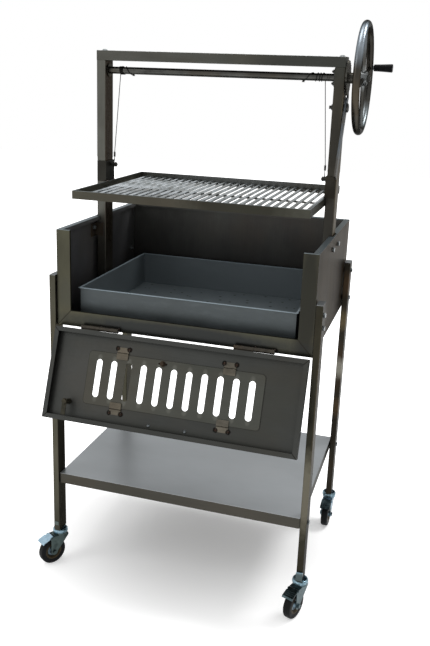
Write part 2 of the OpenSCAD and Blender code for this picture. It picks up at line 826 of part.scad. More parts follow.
// Handwheel: round rim, spokes and hub in one piece
module handwheel() {
  color(steel_bright) difference() {
    translate([rim_x, gantry_y, shaft_z]) rotate([wheel_turn, 0, 0]) union() {
      along_x() rotate_extrude($fn = 96) translate([wheel_r, 0]) circle(d = rim_d, $fn = 24);
      for (i = [0:spokes - 1])
        rotate([i * 360 / spokes, 0, 0]) translate([0, hub_d / 2 - 4, 0]) along_y()
          cylinder(d = spoke_d, h = wheel_r - hub_d / 2 + 4 - rim_d / 4, $fn = 32);
      translate([-hub_l / 2, 0, 0]) along_x() cylinder(d = hub_d, h = hub_l);
    }
    translate([hub_x - 1, gantry_y, shaft_z]) along_x()
      cylinder(d = 12 + bolt_room, h = hub_l + 2);
    translate([rim_x, handle_y, handle_z]) along_x()
      cylinder(d = spindle_d + running, h = rim_d);
  }
}
module handle_spindle() {
  grip_end = grip_x + grip_l;
  color(zinc) translate([0, handle_y, handle_z]) {
    translate([rim_x, 0, 0]) along_x() cylinder(d = spindle_d, h = grip_end - 2 - rim_x);
    translate([collar_x, 0, 0]) along_x() cylinder(d = spindle_d + 4, h = collar_l);
    translate([grip_end - 3, 0, 0]) along_x() cylinder(d = spindle_d + 6, h = 2.5);
  }
}
module handle_grip() {
  bore = (spindle_d + running) / 2;
  sink = spindle_d / 2 + 3.5;
  color(black) translate([grip_x, handle_y, handle_z]) along_x() rotate_extrude()
    polygon([[bore, 0], [grip_d / 2 - 1, 0], [grip_d / 2, 1.5],
             [grip_end_d / 2, grip_l - 4], [grip_end_d / 2, grip_l - 1.5],
             [grip_end_d / 2 - 1.5, grip_l], [sink, grip_l], [sink, grip_l - 3.5],
             [bore, grip_l - 3.5]]);
}

// Solid tube swept along points, with one reference direction for each point
function unit(v) = v / norm(v);
function tangent(p, i) =
  i == 0 ? unit(p[1] - p[0])
  : i == len(p) - 1 ? unit(p[i] - p[i - 1])
  : unit(unit(p[i + 1] - p[i]) + unit(p[i] - p[i - 1]));
function ring(p, side, i, r, n) = let (
    t = tangent(p, i),
    b = unit(cross(t, side[i])),
    s = cross(b, t))
  [for (k = [0:n - 1]) p[i] + r * (cos(k * 360 / n) * s + sin(k * 360 / n) * b)];
module swept_tube(p, side, r, n = 6) {
  m = len(p);
  points = [for (i = [0:m - 1]) each ring(p, side, i, r, n)];
  walls = [for (i = [0:m - 2], k = [0:n - 1]) let (
      a = i * n + k,
      b = i * n + (k + 1) % n)
    each [[a, b + n, b], [a, a + n, b + n]]];
  start = [[for (k = [0:n - 1]) k]];
  end = [[for (k = [n - 1:-1:0]) (m - 1) * n + k]];
  polyhedron(points, concat(walls, start, end));
}

// Cable wound on the shaft. Angles run down from the post under the shaft and
// end at the back, where the cable leaves. The pairs give the distance from the
// upright at each angle, in cable diameters.
right_turns = [[-1080, 16.5], [-1060, 16.5], [-900, 19.75], [-540, 23],
               [-180, 27.5], [90, 34], [270, 47]];
left_turns = [[-1440, 17.5], [-1420, 17.5], [-1260, 20.5], [-900, 22],
              [-540, 23.5], [-180, 25], [90, 29.5], [270, 40]];
function turns_of(s) = s > 0 ? right_turns : left_turns;
function wound(s, a) = [s * (up_in - cable_d * lookup(a, turns_of(s))),
  gantry_y + wind_r * cos(a), shaft_z + wind_r * sin(a)];
function post_way(s) = unit(wound(s, 270) - wound(s, 255));
function post_at(s) = wound(s, 270) + [post_way(s)[0], post_way(s)[1], 0]
  * (cable_d + post_d / 2 + 0.05);
function winding_path(s) = let (
    way = unit([post_way(s)[0], post_way(s)[1], 0]),
    last = turns_of(s)[0][0])
  concat([wound(s, 270) + cable_d * way],
         [for (a = [270:-15:last]) wound(s, a)],
         [wound(s, last) - [0, 0, cable_d]]);
function winding_side(s) = let (last = turns_of(s)[0][0])
  concat([[0, cos(270), sin(270)]],
         [for (a = [270:-15:last]) [0, cos(a), sin(a)]],
         [[0, 1, 0]]);
module winding(s) swept_tube(winding_path(s), winding_side(s), cable_d / 2);
module cable_winding_left() color(steel_bright) winding(-1);
module cable_winding_right() color(steel_bright) winding(1);

// Least gap between neighbouring turns, measured on the path
function least_gap(p) = min([for (i = [0:len(p) - 14], j = [i + 13:len(p) - 1])
  norm(p[j] - p[i])]) - cable_d;
echo(least_gap_left = least_gap(winding_path(-1)));
echo(least_gap_right = least_gap(winding_path(1)));

// Grub screw of the stub and the two posts that hold the cable ends
module shaft_screws() {
  color(zinc) {
    translate([grub_x, gantry_y - 4.5, shaft_z]) rotate([90, 0, 0])
      cylinder(d = grub_d, h = shaft_d / 2 - 4.5 + 1);
    translate([grub_x, gantry_y - shaft_d / 2 - 0.2, shaft_z]) rotate([90, 0, 0])
      cylinder(d = grub_d + 3, h = 3);
    for (s = [1, -1])
      translate([post_at(s)[0], post_at(s)[1], shaft_z - shaft_d / 2 - 5])
        union() {
          cylinder(d = post_d, h = 5 + shaft_wall);
          cylinder(d = post_d + 3, h = 1.8);
        }
  }
}

// Free runs of cable from the shaft down to the ferrules
module lift_cable(s) {
  top = [s * (up_in - turns_of(s)[0][1]), hang_y, shaft_z - cable_d - 0.1];
  low = [s * eye_x, hang_y, ferrule_z + ferrule_l + 0.1];
  d = top - low;
  color(steel_bright) translate(low)
    rotate([0, acos(d[2] / norm(d)) * sign(d[0]), 0])
      cylinder(d = cable_d, h = norm(d), $fn = 16);
}
module lift_cable_left() lift_cable(-1);
module lift_cable_right() lift_cable(1);

// Cable bolts, their nuts, the ferrules and the eyes round the bolts
eye_r = bolt_d / 2 + cable_d / 2 + 0.1;
eye_top = ferrule_z - stud_z - 0.05;
eye_path = concat(
  [[0, 1.4, eye_top], [0, 1.4, eye_top - cable_d]],
  [for (a = [16:-14:-196]) [0, eye_r * cos(a), eye_r * sin(a)]],
  [[0, -1.4, eye_top - cable_d], [0, -1.4, eye_top]]);
module cable_fittings() {
  side = [for (p = eye_path) [1, 0, 0]];
  web_x = carriage_x - carriage_t;
  color(zinc) both_sides() translate([0, hang_y, 0]) {
    translate([web_x - stud_l, 0, stud_z]) along_x() cylinder(d = bolt_d, h = stud_l);
    translate([eye_x - cable_d / 2 - 0.1 - nut_h, 0, stud_z]) along_x() hex_nut(bolt_d);
    translate([eye_x + cable_d / 2 + 0.1, 0, stud_z]) along_x() hex_nut(bolt_d);
    translate([eye_x, 0, ferrule_z]) cylinder(d = 3 * cable_d, h = ferrule_l);
    translate([eye_x, 0, stud_z]) swept_tube(eye_path, side, cable_d / 2);
  }
}

// Grate frame of flat bar, the rods across it and the flats under the rods
module grate_frame() {
  color(steel_dark) translate([0, grate_y, grate_top - bar_h]) difference() {
    translate([-grate_x, -grate_d / 2, 0]) cube([2 * grate_x, grate_d, bar_h]);
    translate([-grate_x + bar_t, -grate_d / 2 + bar_t, -1])
      cube([2 * grate_x - 2 * bar_t, grate_d - 2 * bar_t, bar_h + 2]);
  }
}
module grate_rods() {
  inner = grate_x - bar_t - rod_d / 2 - 10;
  count = floor(2 * inner / rod_pitch) + 1;
  color(steel_bright)
    for (i = [0:count - 1])
      translate([(i - (count - 1) / 2) * rod_pitch, grate_y - grate_d / 2 + bar_t, rod_z])
        along_y() cylinder(d = rod_d, h = grate_d - 2 * bar_t, $fn = 24);
}
module grate_flats() {
  span = grate_d - 2 * bar_t - flat_w - 36;
  color(steel_dark)
    for (i = [0:flats - 1])
      translate([-grate_x + bar_t, grate_y - span / 2 + i * span / (flats - 1) - flat_w / 2,
                 grate_top - bar_h])
        cube([2 * (grate_x - bar_t), flat_w, flat_t]);
}

// Carriage: a channel that wraps the upright and stands on the grate frame
module carriage() {
  web_x = carriage_x - carriage_t;
  front = up_front - carriage_gap - carriage_t;
  back = up_back + carriage_gap + carriage_t;
  difference() {
    translate([web_x, front, grate_top]) cube([up_out - 2 - web_x, back - front, carriage_h]);
    translate([carriage_x, front + carriage_t, grate_top - 1])
      cube([upright_w, back - front - 2 * carriage_t, carriage_h + 2]);
  }
  for (y = [front + 1, back - 19])
    translate([web_x, y + 18, grate_top]) rotate([90, 0, 0]) linear_extrude(18)
      polygon([[eps, 0], [eps, 3], [-grate_x + carriage_x - carriage_t + 2, 0]]);
}
module carriage_left() color(steel) mirror([1, 0, 0]) carriage();
module carriage_right() color(steel) carriage();

// Charcoal pan with an outward lip
module charcoal_pan() {
  color(pan_blue) translate([0, 0.5, floor_z]) difference() {
    union() {
      translate([-pan_w / 2, -pan_d / 2, 0]) cube([pan_w, pan_d, pan_h]);
      translate([-pan_w / 2 - pan_lip, -pan_d / 2 - pan_lip, pan_h - sheet])
        cube([pan_w + 2 * pan_lip, pan_d + 2 * pan_lip, sheet]);
    }
    translate([-pan_w / 2 + sheet, -pan_d / 2 + sheet, sheet])
      cube([pan_w - 2 * sheet, pan_d - 2 * sheet, pan_h]);
  }
}

// Frame of the door: X along the hinge, Y out of the firebox side, Z to the free edge
module on_door() translate([0, hinge_y, hinge_z]) rotate([door_open, 0, 0]) children();

module vent_slots(back, thick) {
  for (i = [0:slots - 1])
    translate([(i - (slots - 1) / 2) * slot_pitch, back, vent_z]) rotate([90, 0, 0])
      pill(slot_w, slot_l, thick);
}
module door_shell() {
  low = knuckle_off;
  color(steel) on_door() difference() {
    translate([-door_w / 2, door_out, low]) cube([door_w, door_t, door_h]);
    translate([-door_w / 2 + sheet, panel_in, low + sheet])
      cube([door_w - 2 * sheet, door_t - 2 * sheet, door_h - 2 * sheet]);
    translate([-door_w / 2 + door_lip, panel_in, low + door_lip])
      cube([door_w - 2 * door_lip, door_t, door_h - 2 * door_lip]);
    vent_slots(panel_in + 1, sheet + 2);
    translate([knob_x + knob_travel / 2, panel_in + 1, knob_z]) rotate([90, 0, 0])
      rotate([0, 0, 90]) pill(knob_stud_d + 2, knob_travel + knob_stud_d + 2, sheet + 2);
    translate([-latch_x, door_out - 1, latch_z]) along_y()
      cylinder(d = latch_d + running, h = sheet + 2);
    for (s = [-1, 1])
      translate([s * handle_span / 2, door_out - 1, handle_mid_z]) along_y()
        cylinder(d = 5 + bolt_room, h = sheet + 2);
  }
}
module clip(x, edge, up) {
  out = vent_in + vent_gap;
  translate([x - clip_w / 2, 0, edge]) rotate([90, 0, 90]) linear_extrude(clip_w)
    polygon([[panel_in, -0.6 * up], [panel_in, -20.5 * up],
             [panel_in + clip_t, -20.5 * up], [panel_in + clip_t, -5 * up],
             [out + clip_t, -2 * up], [out + clip_t, 16.5 * up], [out, 16.5 * up],
             [out, -0.6 * up]]);
}
module vent_clips() {
  color(steel_dark) on_door() for (s = [-1, 1]) {
    clip(s * clip_x, clip_low_z, 1);
    clip(s * clip_x, clip_high_z, -1);
  }
}
module vent_slider() {
  color(steel) on_door() difference() {
    translate([0, panel_in + vent_gap, vent_z]) round_plate(vent_w, vent_h, sheet, vent_r);
    vent_slots(vent_in + 1, sheet + 2);
    translate([knob_x, vent_in + 1, knob_z]) rotate([90, 0, 0])
      cylinder(d = knob_stud_d + running, h = sheet + 2);
  }
}
module vent_knob() {
  color(steel_dark) on_door() translate([knob_x, 0, knob_z]) {
    translate([0, vent_in, 0]) along_y() cylinder(d = 17, h = 3);
    translate([0, vent_in + 2, 0]) along_y() cylinder(d = 12, h = 9);
    translate([0, door_out - 6, 0]) along_y()
      cylinder(d = knob_stud_d, h = vent_in - door_out + 6.5);
    translate([0, door_out - 20, 0]) along_y() cylinder(d = 26, h = 15);
  }
}

// Door handle: a bent rod outside, held by two screws from inside
module door_handle() {
  bar = door_out - handle_h + handle_d / 2;
  color(zinc) on_door() translate([0, 0, handle_mid_z]) {
    difference() {
      union() {
        translate([-handle_span / 2 - handle_d / 2, bar, 0]) along_x()
          cylinder(d = handle_d, h = handle_span + handle_d);
        for (s = [-1, 1])
          translate([s * handle_span / 2, bar, 0]) along_y()
            cylinder(d = handle_d, h = door_out - bar);
      }
      for (s = [-1, 1])
        translate([s * handle_span / 2, door_out - 12, 0]) along_y()
          cylinder(d = 5 + bolt_room, h = 14);
    }
    for (s = [-1, 1]) {
      translate([s * handle_span / 2, door_out - 11, 0]) along_y()
        cylinder(d = 5, h = 11 + sheet + 1);
      translate([s * handle_span / 2, panel_in, 0]) along_y()
        cylinder(d1 = 11, d2 = 7, h = 3);
    }
  }
}

// Lift-off hinges: the frame halves carry the pins, the door halves turn on them
module hinge_frame_halves() {
  color(steel_dark) for (m = [hinge_left_x, hinge_right_x]) {
    translate([m + 0.5, hinge_y, hinge_z]) along_x() cylinder(d = knuckle_d, h = knuckle_l);
    translate([m + 0.5, hinge_y, hinge_z - 4])
      cube([knuckle_l, -half_d - hinge_y, 8]);
    translate([m + 2.5 - knuckle_l, hinge_y, hinge_z]) along_x()
      cylinder(d = pin_d, h = knuckle_l);
  }
}
module hinge_door_halves() {
  color(steel_dark) on_door() for (m = [hinge_left_x, hinge_right_x]) difference() {
    union() {
      translate([m - 0.5 - knuckle_l, 0, 0]) along_x()
        cylinder(d = knuckle_d, h = knuckle_l);
      translate([m - 0.5 - knuckle_l, -4, 0]) cube([knuckle_l, 8, knuckle_off]);
    }
    translate([m - 1.5 - knuckle_l, 0, 0]) along_x()
      cylinder(d = pin_d + running, h = knuckle_l + 2);
  }
}

// Latch: a spindle through the door with a tongue inside and a knob outside
module door_latch() {
  color(steel_dark) on_door() translate([-latch_x, 0, latch_z]) {
    translate([0, door_out - 12, 0]) along_y()
      cylinder(d = latch_d, h = tongue_y + 1.5 - door_out + 12);
    translate([0, panel_in + 0.3, 0]) along_y()
      cylinder(d = latch_d + 6, h = tongue_y - panel_in - 2.3);
    translate([0, door_out - 14.5, 0]) along_y() cylinder(d = 30, h = 14);
    translate([-7, tongue_y - 1.5, -9]) cube([14, 3, latch_l + 9]);
    translate([0, tongue_y + 1.4, 0]) rotate([0, 45, 0]) translate([-6.5, 0, -6.5])
      cube([13, 4, 13]);
  }
}

// Casters: each in its own frame, with the swivel axis at the leg
module at_leg(i) {
  places = [[-leg_x, leg_front_y, turn_fl], [leg_x, leg_front_y, turn_fr],
            [-leg_x, leg_rear_y, turn_rl], [leg_x, leg_rear_y, turn_rr]];
  translate([places[i][0], places[i][1], 0]) rotate([0, 0, places[i][2]]) children();
}
module caster_mounts() {
  plug_w = leg_w - 2 * leg_wall - 2 * running;
  plug_d = leg_d - 2 * leg_wall - 2 * running;
  lip = ring_d / 2;
  pad = leg_w / 2 + 2;
  for (i = [0:3]) at_leg(i) color(zinc) union() {
    translate([0, 0, ring_z]) rotate_extrude()
      polygon([[0, 2], [lip - 2, 2], [lip, 4], [lip, 9], [lip - 0.8, 12.5], [lip - 2.5, 14.8],
               [lip - 4.5, 15.5], [lip - 6.4, 14.6], [lip - 7.6, 12], [lip - 8.2, 8],
               [pad, 6.5], [pad, leg_bottom - ring_z], [0, leg_bottom - ring_z]]);
    translate([0, 0, crown_z - 6]) cylinder(d = kingpin_d, h = ring_z - crown_z + 9);
    translate([0, 0, crown_z - 6]) cylinder(d = kingpin_d + 6, h = 5.5);
  }
  color(zinc) for (sx = [-1, 1], y = [leg_front_y, leg_rear_y])
    translate([sx * leg_x, y, leg_bottom]) rounded_bar(plug_w, plug_d, plug_h, 1);
  color(zinc) translate([leg_x, leg_front_y - leg_d / 2, leg_bottom + 6.5])
    rotate([90, 0, 0]) linear_extrude(5.5) lock_outline(leg_w + 1, lock_h, 4);
  color(zinc) translate([-leg_x, leg_front_y - leg_d / 2, leg_bottom + 20])
    rotate([90, 0, 0]) linear_extrude(1.5) lock_outline(15, 14, 2);
}
module lock_outline(w, h, r) {
  hull() {
    translate([-w / 2, 0]) square([w, 1]);
    for (s = [-1, 1]) translate([s * (w / 2 - r), h - r]) circle(r = r);
  }
}
module caster_fork() {
  color(zinc) {
    difference() {
      union() {
        translate([0, 0, crown_z + fork_t - eps])
          cylinder(d = ring_d - 4, h = ring_z + 1.5 - crown_z - fork_t);
        translate([-20, -fork_in / 2 - fork_t, crown_z])
          cube([50, fork_in + 2 * fork_t, fork_t]);
        for (s = [-1, 1])
          translate([0, s * (fork_in + fork_t) / 2 + fork_t / 2, 0]) rotate([90, 0, 0])
            linear_extrude(fork_t) union() {
              polygon([[-20, crown_z + fork_t], [pedal_x + 6, crown_z + fork_t],
                       [pedal_x + 7, pedal_z - 6], [trail + 12, axle_z],
                       [trail - 12, axle_z], [-8, axle_z + 34], [-20, crown_z - 5]]);
              translate([trail, axle_z]) circle(r = 12);
            }
      }
      translate([0, 0, crown_z - 1]) cylinder(d = kingpin_d + running, h = 20);
      translate([trail, -30, axle_z]) along_y() cylinder(d = axle_d + bolt_room, h = 60);
      translate([pedal_x, -30, pedal_z]) along_y() cylinder(d = 6 + bolt_room, h = 60);
    }
    outer = fork_in / 2 + fork_t;
    translate([trail, -outer - 4, axle_z]) along_y()
      cylinder(d = axle_d, h = 2 * outer + 9);
    translate([trail, -outer - 4, axle_z]) along_y()
      cylinder(d = axle_d + 6, h = 4 - eps);
    translate([trail, outer, axle_z]) along_y() difference() {
      cylinder(d = axle_d + 6, h = 5, $fn = 6);
      translate([0, 0, -1]) cylinder(d = axle_d + bolt_room, h = 7);
    }
    translate([pedal_x, -outer - 2, pedal_z]) along_y() cylinder(d = 6, h = 2 * outer + 4);
  }
}
module caster_wheel() {
  rim_r = hub_ring_d / 2;
  tyre_r = caster_d / 2;
  half = tyre_w / 2;
  bore = (axle_d + running) / 2;
  boss_l = fork_in / 2 - 0.5;
  translate([trail, 0, axle_z]) along_y() {
    color(black) rotate_extrude($fn = 64)
      polygon([[rim_r + 0.05, -half + 1], [rim_r + 2, -half], [tyre_r - 5, -half],
               [tyre_r - 1.5, -half + 1.5], [tyre_r, -half + 5], [tyre_r, half - 5],
               [tyre_r - 1.5, half - 1.5], [tyre_r - 5, half], [rim_r + 2, half],
               [rim_r + 0.05, half - 1]]);
    color(tan_hub) rotate_extrude($fn = 64)
      polygon([[bore, -boss_l], [10, -boss_l], [11, -half + 5], [rim_r - 5, -half + 5],
               [rim_r - 4, -half + 1], [rim_r, -half + 1], [rim_r, half - 1],
               [rim_r - 4, half - 1], [rim_r - 5, half - 5], [11, half - 5],
               [10, boss_l], [bore, boss_l]]);
  }
}
module brake_pedal() {
  half = fork_in / 2 - 0.5;
  color(zinc) difference() {
    union() {
      translate([pedal_x, -half, pedal_z]) along_y() cylinder(d = 10, h = 2 * half);
      translate([pedal_x, half, pedal_z]) rotate([90, 0, 0]) linear_extrude(2 * half)
        polygon([[0, 5], [4, 4.6], [14, 0.9], [14, -1.9], [4, 1.8], [0, 1]]);
      translate([pedal_x, pedal_w / 2, pedal_z]) rotate([90, 0, 0]) linear_extrude(pedal_w)
        polygon([[11, 2.01], [34, -6.5], [38, -12], [35.7, -13.4], [32.4, -8.7],
                 [11, -0.79]]);
    }
    translate([pedal_x, -half - 1, pedal_z]) along_y()
      cylinder(d = 6 + running, h = 2 * half + 2);
  }
}
module caster_fork_front_left() at_leg(0) caster_fork();
module caster_fork_front_right() at_leg(1) caster_fork();
module caster_fork_rear_left() at_leg(2) caster_fork();
module caster_fork_rear_right() at_leg(3) caster_fork();
module caster_wheel_front_left() at_leg(0) caster_wheel();
module caster_wheel_front_right() at_leg(1) caster_wheel();
module caster_wheel_rear_left() at_leg(2) caster_wheel();
module caster_wheel_rear_right() at_leg(3) caster_wheel();
module brake_pedal_front_left() at_leg(0) brake_pedal();
module brake_pedal_front_right() at_leg(1) brake_pedal();
module brake_pedal_rear_left() at_leg(2) brake_pedal();
module brake_pedal_rear_right() at_leg(3) brake_pedal();

leg_front_left();
leg_front_right();
leg_rear_left();
leg_rear_right();
shelf();
frame_bolts();
frame_nuts();
firebox_left_wall();
firebox_right_wall();
firebox_back_wall();
firebox_floor();
front_frame();
upright_left();
upright_right();
crossbar();
upright_brackets();
shaft_bush_left();
shaft_bearing();
bearing_screws();
hinge_frame_halves();
pawl_bolt();
lift_shaft();
drive_stub();
cable_winding_left();
cable_winding_right();
shaft_screws();
ratchet_wheel();
handwheel();
handle_spindle();
handle_grip();
pawl();
grate_frame();
grate_rods();
grate_flats();
carriage_left();
carriage_right();
cable_fittings();
lift_cable_left();
lift_cable_right();
charcoal_pan();
door_shell();
vent_clips();
door_handle();
hinge_door_halves();
door_latch();
vent_slider();
vent_knob();
caster_mounts();
caster_fork_front_left();
caster_fork_front_right();
caster_fork_rear_left();
caster_fork_rear_right();
caster_wheel_front_left();
caster_wheel_front_right();
caster_wheel_rear_left();
caster_wheel_rear_right();
brake_pedal_front_left();
brake_pedal_front_right();
brake_pedal_rear_left();
brake_pedal_rear_right();
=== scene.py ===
"""Looks of an open-fire grill: brushed steel stand, firebox, cable-lifted grate and casters."""

from __future__ import annotations

import json
import logging
import math
import random
from dataclasses import dataclass, field
from enum import Enum
from typing import Any, Callable, Iterable, Optional, Sequence

import bmesh
import bpy
from mathutils import Matrix, Vector

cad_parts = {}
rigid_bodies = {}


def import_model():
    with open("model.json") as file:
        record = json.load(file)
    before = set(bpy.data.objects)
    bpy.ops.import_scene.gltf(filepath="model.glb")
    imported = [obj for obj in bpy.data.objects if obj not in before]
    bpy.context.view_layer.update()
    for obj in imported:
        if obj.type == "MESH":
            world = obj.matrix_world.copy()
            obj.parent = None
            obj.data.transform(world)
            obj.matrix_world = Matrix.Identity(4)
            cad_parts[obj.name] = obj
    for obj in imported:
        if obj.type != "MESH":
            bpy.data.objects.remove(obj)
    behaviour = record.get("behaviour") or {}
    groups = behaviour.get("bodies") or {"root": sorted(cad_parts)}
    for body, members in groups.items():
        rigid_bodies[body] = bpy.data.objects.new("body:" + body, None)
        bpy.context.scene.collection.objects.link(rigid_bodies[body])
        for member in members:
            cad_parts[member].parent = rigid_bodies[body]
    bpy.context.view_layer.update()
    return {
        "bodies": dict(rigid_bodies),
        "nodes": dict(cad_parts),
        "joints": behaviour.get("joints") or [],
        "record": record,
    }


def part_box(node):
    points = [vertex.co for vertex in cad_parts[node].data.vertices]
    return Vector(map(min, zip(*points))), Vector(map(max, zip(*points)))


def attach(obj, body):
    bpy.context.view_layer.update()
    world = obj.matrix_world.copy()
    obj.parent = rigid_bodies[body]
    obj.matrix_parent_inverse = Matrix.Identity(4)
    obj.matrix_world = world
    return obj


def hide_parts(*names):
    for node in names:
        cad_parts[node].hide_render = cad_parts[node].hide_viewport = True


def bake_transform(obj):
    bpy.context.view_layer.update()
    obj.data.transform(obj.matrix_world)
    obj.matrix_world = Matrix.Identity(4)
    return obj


LOG = logging.getLogger("grill")
MM = 0.001
IMAGE_SIZE = (430, 646)

Point = tuple[float, float, float]


# ---------------------------------------------------------------- small helpers
def colour(code: str, alpha: float = 1.0) -> tuple[float, float, float, float]:
    """Turn an sRGB hex colour into linear values.

    Args:
        code: six hex digits, with or without a leading #.
        alpha: opacity kept as it is.

    Returns:
        Linear red, green, blue and alpha.
    """
    digits = code.lstrip("#")
    parts = [int(digits[i : i + 2], 16) / 255 for i in (0, 2, 4)]
    linear = [c / 12.92 if c <= 0.04045 else ((c + 0.055) / 1.055) ** 2.4 for c in parts]
    return linear[0], linear[1], linear[2], alpha


def add(
    tree: bpy.types.NodeTree,
    kind: str,
    settings: Optional[dict[str, Any]] = None,
    **inputs: Any,
) -> bpy.types.Node:
    """Add one shader node with its settings and links.

    Args:
        tree: the node tree that gets the node.
        kind: the node's type, without the ShaderNode prefix.
        settings: attributes of the node, such as its operation.
        inputs: socket values or output sockets; in0, in1 and so on go by number,
            other names go by the socket's name with _ for a space.

    Returns:
        The new node.
    """
    node = tree.nodes.new("ShaderNode" + kind)
    for name, value in (settings or {}).items():
        setattr(node, name, value)
    for name, value in inputs.items():
        by_number = name.startswith("in") and name[2:].isdigit()
        socket = node.inputs[int(name[2:]) if by_number else name.replace("_", " ")]
        if isinstance(value, bpy.types.NodeSocket):
            tree.links.new(value, socket)
        else:
            socket.default_value = value
    return node


def ramp(tree: bpy.types.NodeTree, value: bpy.types.NodeSocket, low: float, high: float) -> Any:
    """Stretch a value between two limits to 0 to 1, clamped, and return the result socket."""
    node = add(tree, "MapRange", {"clamp": True}, Value=value, From_Min=low, From_Max=high)
    return node.outputs["Result"]


def mix(
    tree: bpy.types.NodeTree,
    factor: Any,
    first: Any,
    second: Any,
    blend: str = "MIX",
) -> Any:
    """Mix two colours.

    Args:
        tree: the node tree.
        factor: a number or a socket.
        first: colour or socket at factor 0.
        second: colour or socket at factor 1.
        blend: how the colours combine.

    Returns:
        The mixed colour's socket.
    """
    settings = {"data_type": "RGBA", "blend_type": blend, "clamp_factor": True}
    node = add(tree, "Mix", settings, in0=factor, in6=first, in7=second)
    return node.outputs[2]


def maths(tree: bpy.types.NodeTree, operation: str, first: Any, second: Any = 0.0) -> Any:
    """Combine two numbers or sockets with a Math node and return its socket."""
    return add(tree, "Math", {"operation": operation}, in0=first, in1=second).outputs[0]


def noise(
    tree: bpy.types.NodeTree,
    coords: Any,
    stretch: Point,
    detail: float = 3.0,
    offset: Point = (0.0, 0.0, 0.0),
) -> Any:
    """Noise over object coordinates.

    Args:
        tree: the node tree.
        coords: socket with the object coordinates, in metres.
        stretch: features per metre along X, Y and Z.
        detail: octaves.
        offset: where the pattern is cut from.

    Returns:
        The noise value's socket, 0 to 1.
    """
    mapped = add(tree, "Mapping", None, Vector=coords, Location=offset, Scale=stretch)
    node = add(
        tree, "TexNoise", None, Vector=mapped.outputs[0], Scale=1.0, Detail=detail, Roughness=0.6
    )
    return node.outputs[0]


class Grain(Enum):
    """Way that a sheet or tube was brushed."""

    X = 0
    Y = 1
    Z = 2

    def stretch(self, along: float, across: float) -> Point:
        """Features per metre with the grain's own axis drawn out."""
        values = [across, across, across]
        values[self.value] = along
        return values[0], values[1], values[2]


@dataclass(frozen=True)
class Scorch:
    """A burnt or rusty place, in the row frame."""

    at: Point
    radius: float


@dataclass(frozen=True)
class Seam:
    """A thin dark line between two folded or mitred sheets, in the row frame."""

    start: Point
    end: Point
    width: float = 0.0012


@dataclass(frozen=True)
class StainAndPaintedLight:
    """A soft-edged oval of another colour: a heat tint, patch of wear or smoke mark, or painted light, a
    painted highlight, reflection or shade.
    """

    at: Point
    half: Point
    code: str
    share: float = 0.6
    ragged: float = 0.5


@dataclass(frozen=True)
class Outline:
    """A rounded rectangle drawn on a flat sheet: its middle, two ways, half sizes, corner."""

    middle: Point
    along: Point
    up: Point
    half_l: float
    half_h: float
    corner: float
    line: float = 0.0009


def lay_stains_and_painted_light(
    tree: bpy.types.NodeTree, coords: Any, tone: Any, stains_and_painted_light: Sequence[StainAndPaintedLight]
) -> Any:
    """Lay soft-edged patches of stain and painted light over a colour.

    Args:
        tree: the node tree.
        coords: object coordinates.
        tone: colour so far.
        stains_and_painted_light: the patches of stain and painted light, laid in order.

    Returns:
        The new colour's socket.
    """
    torn = noise(tree, coords, (70.0, 70.0, 70.0), 4.0, (6.0, 2.0, 8.0))
    torn = maths(tree, "SUBTRACT", torn, 0.5)
    for mark in stains_and_painted_light:
        away = add(
            tree, "VectorMath", {"operation": "SUBTRACT"}, in0=coords, in1=mark.at
        ).outputs[0]
        scaled = add(
            tree, "VectorMath", {"operation": "DIVIDE"}, in0=away, in1=mark.half
        ).outputs[0]
        reach = add(tree, "VectorMath", {"operation": "LENGTH"}, in0=scaled).outputs["Value"]
        reach = maths(tree, "ADD", reach, maths(tree, "MULTIPLY", torn, mark.ragged))
        share = maths(tree, "MULTIPLY", ramp(tree, reach, 1.0, 0.45), mark.share)
        tone = mix(tree, share, tone, colour(mark.code))
    return tone


# ---------------------------------------------------------------- finishes
@dataclass(frozen=True)
class Finish:
    """Base of every finish: a name and a function that makes the shader."""

    name: str

    def material(self) -> bpy.types.Material:
        """Make the material, or return the one that was made before.

        Returns:
            The node-based material.
        """
        found = bpy.data.materials.get(self.name)
        if found is not None:
            return found
        made = bpy.data.materials.new(self.name)
        made.use_nodes = True
        tree = made.node_tree
        tree.nodes.clear()
        shader = add(tree, "BsdfPrincipled")
        output = add(tree, "OutputMaterial")
        tree.links.new(shader.outputs[0], output.inputs[0])
        coords = add(tree, "TexCoord").outputs["Object"]
        self.dress(tree, shader, coords)
        return made

    def dress(self, tree: bpy.types.NodeTree, shader: bpy.types.Node, coords: Any) -> None:
        """Fill in the shader; each finish has its own."""
        raise NotImplementedError


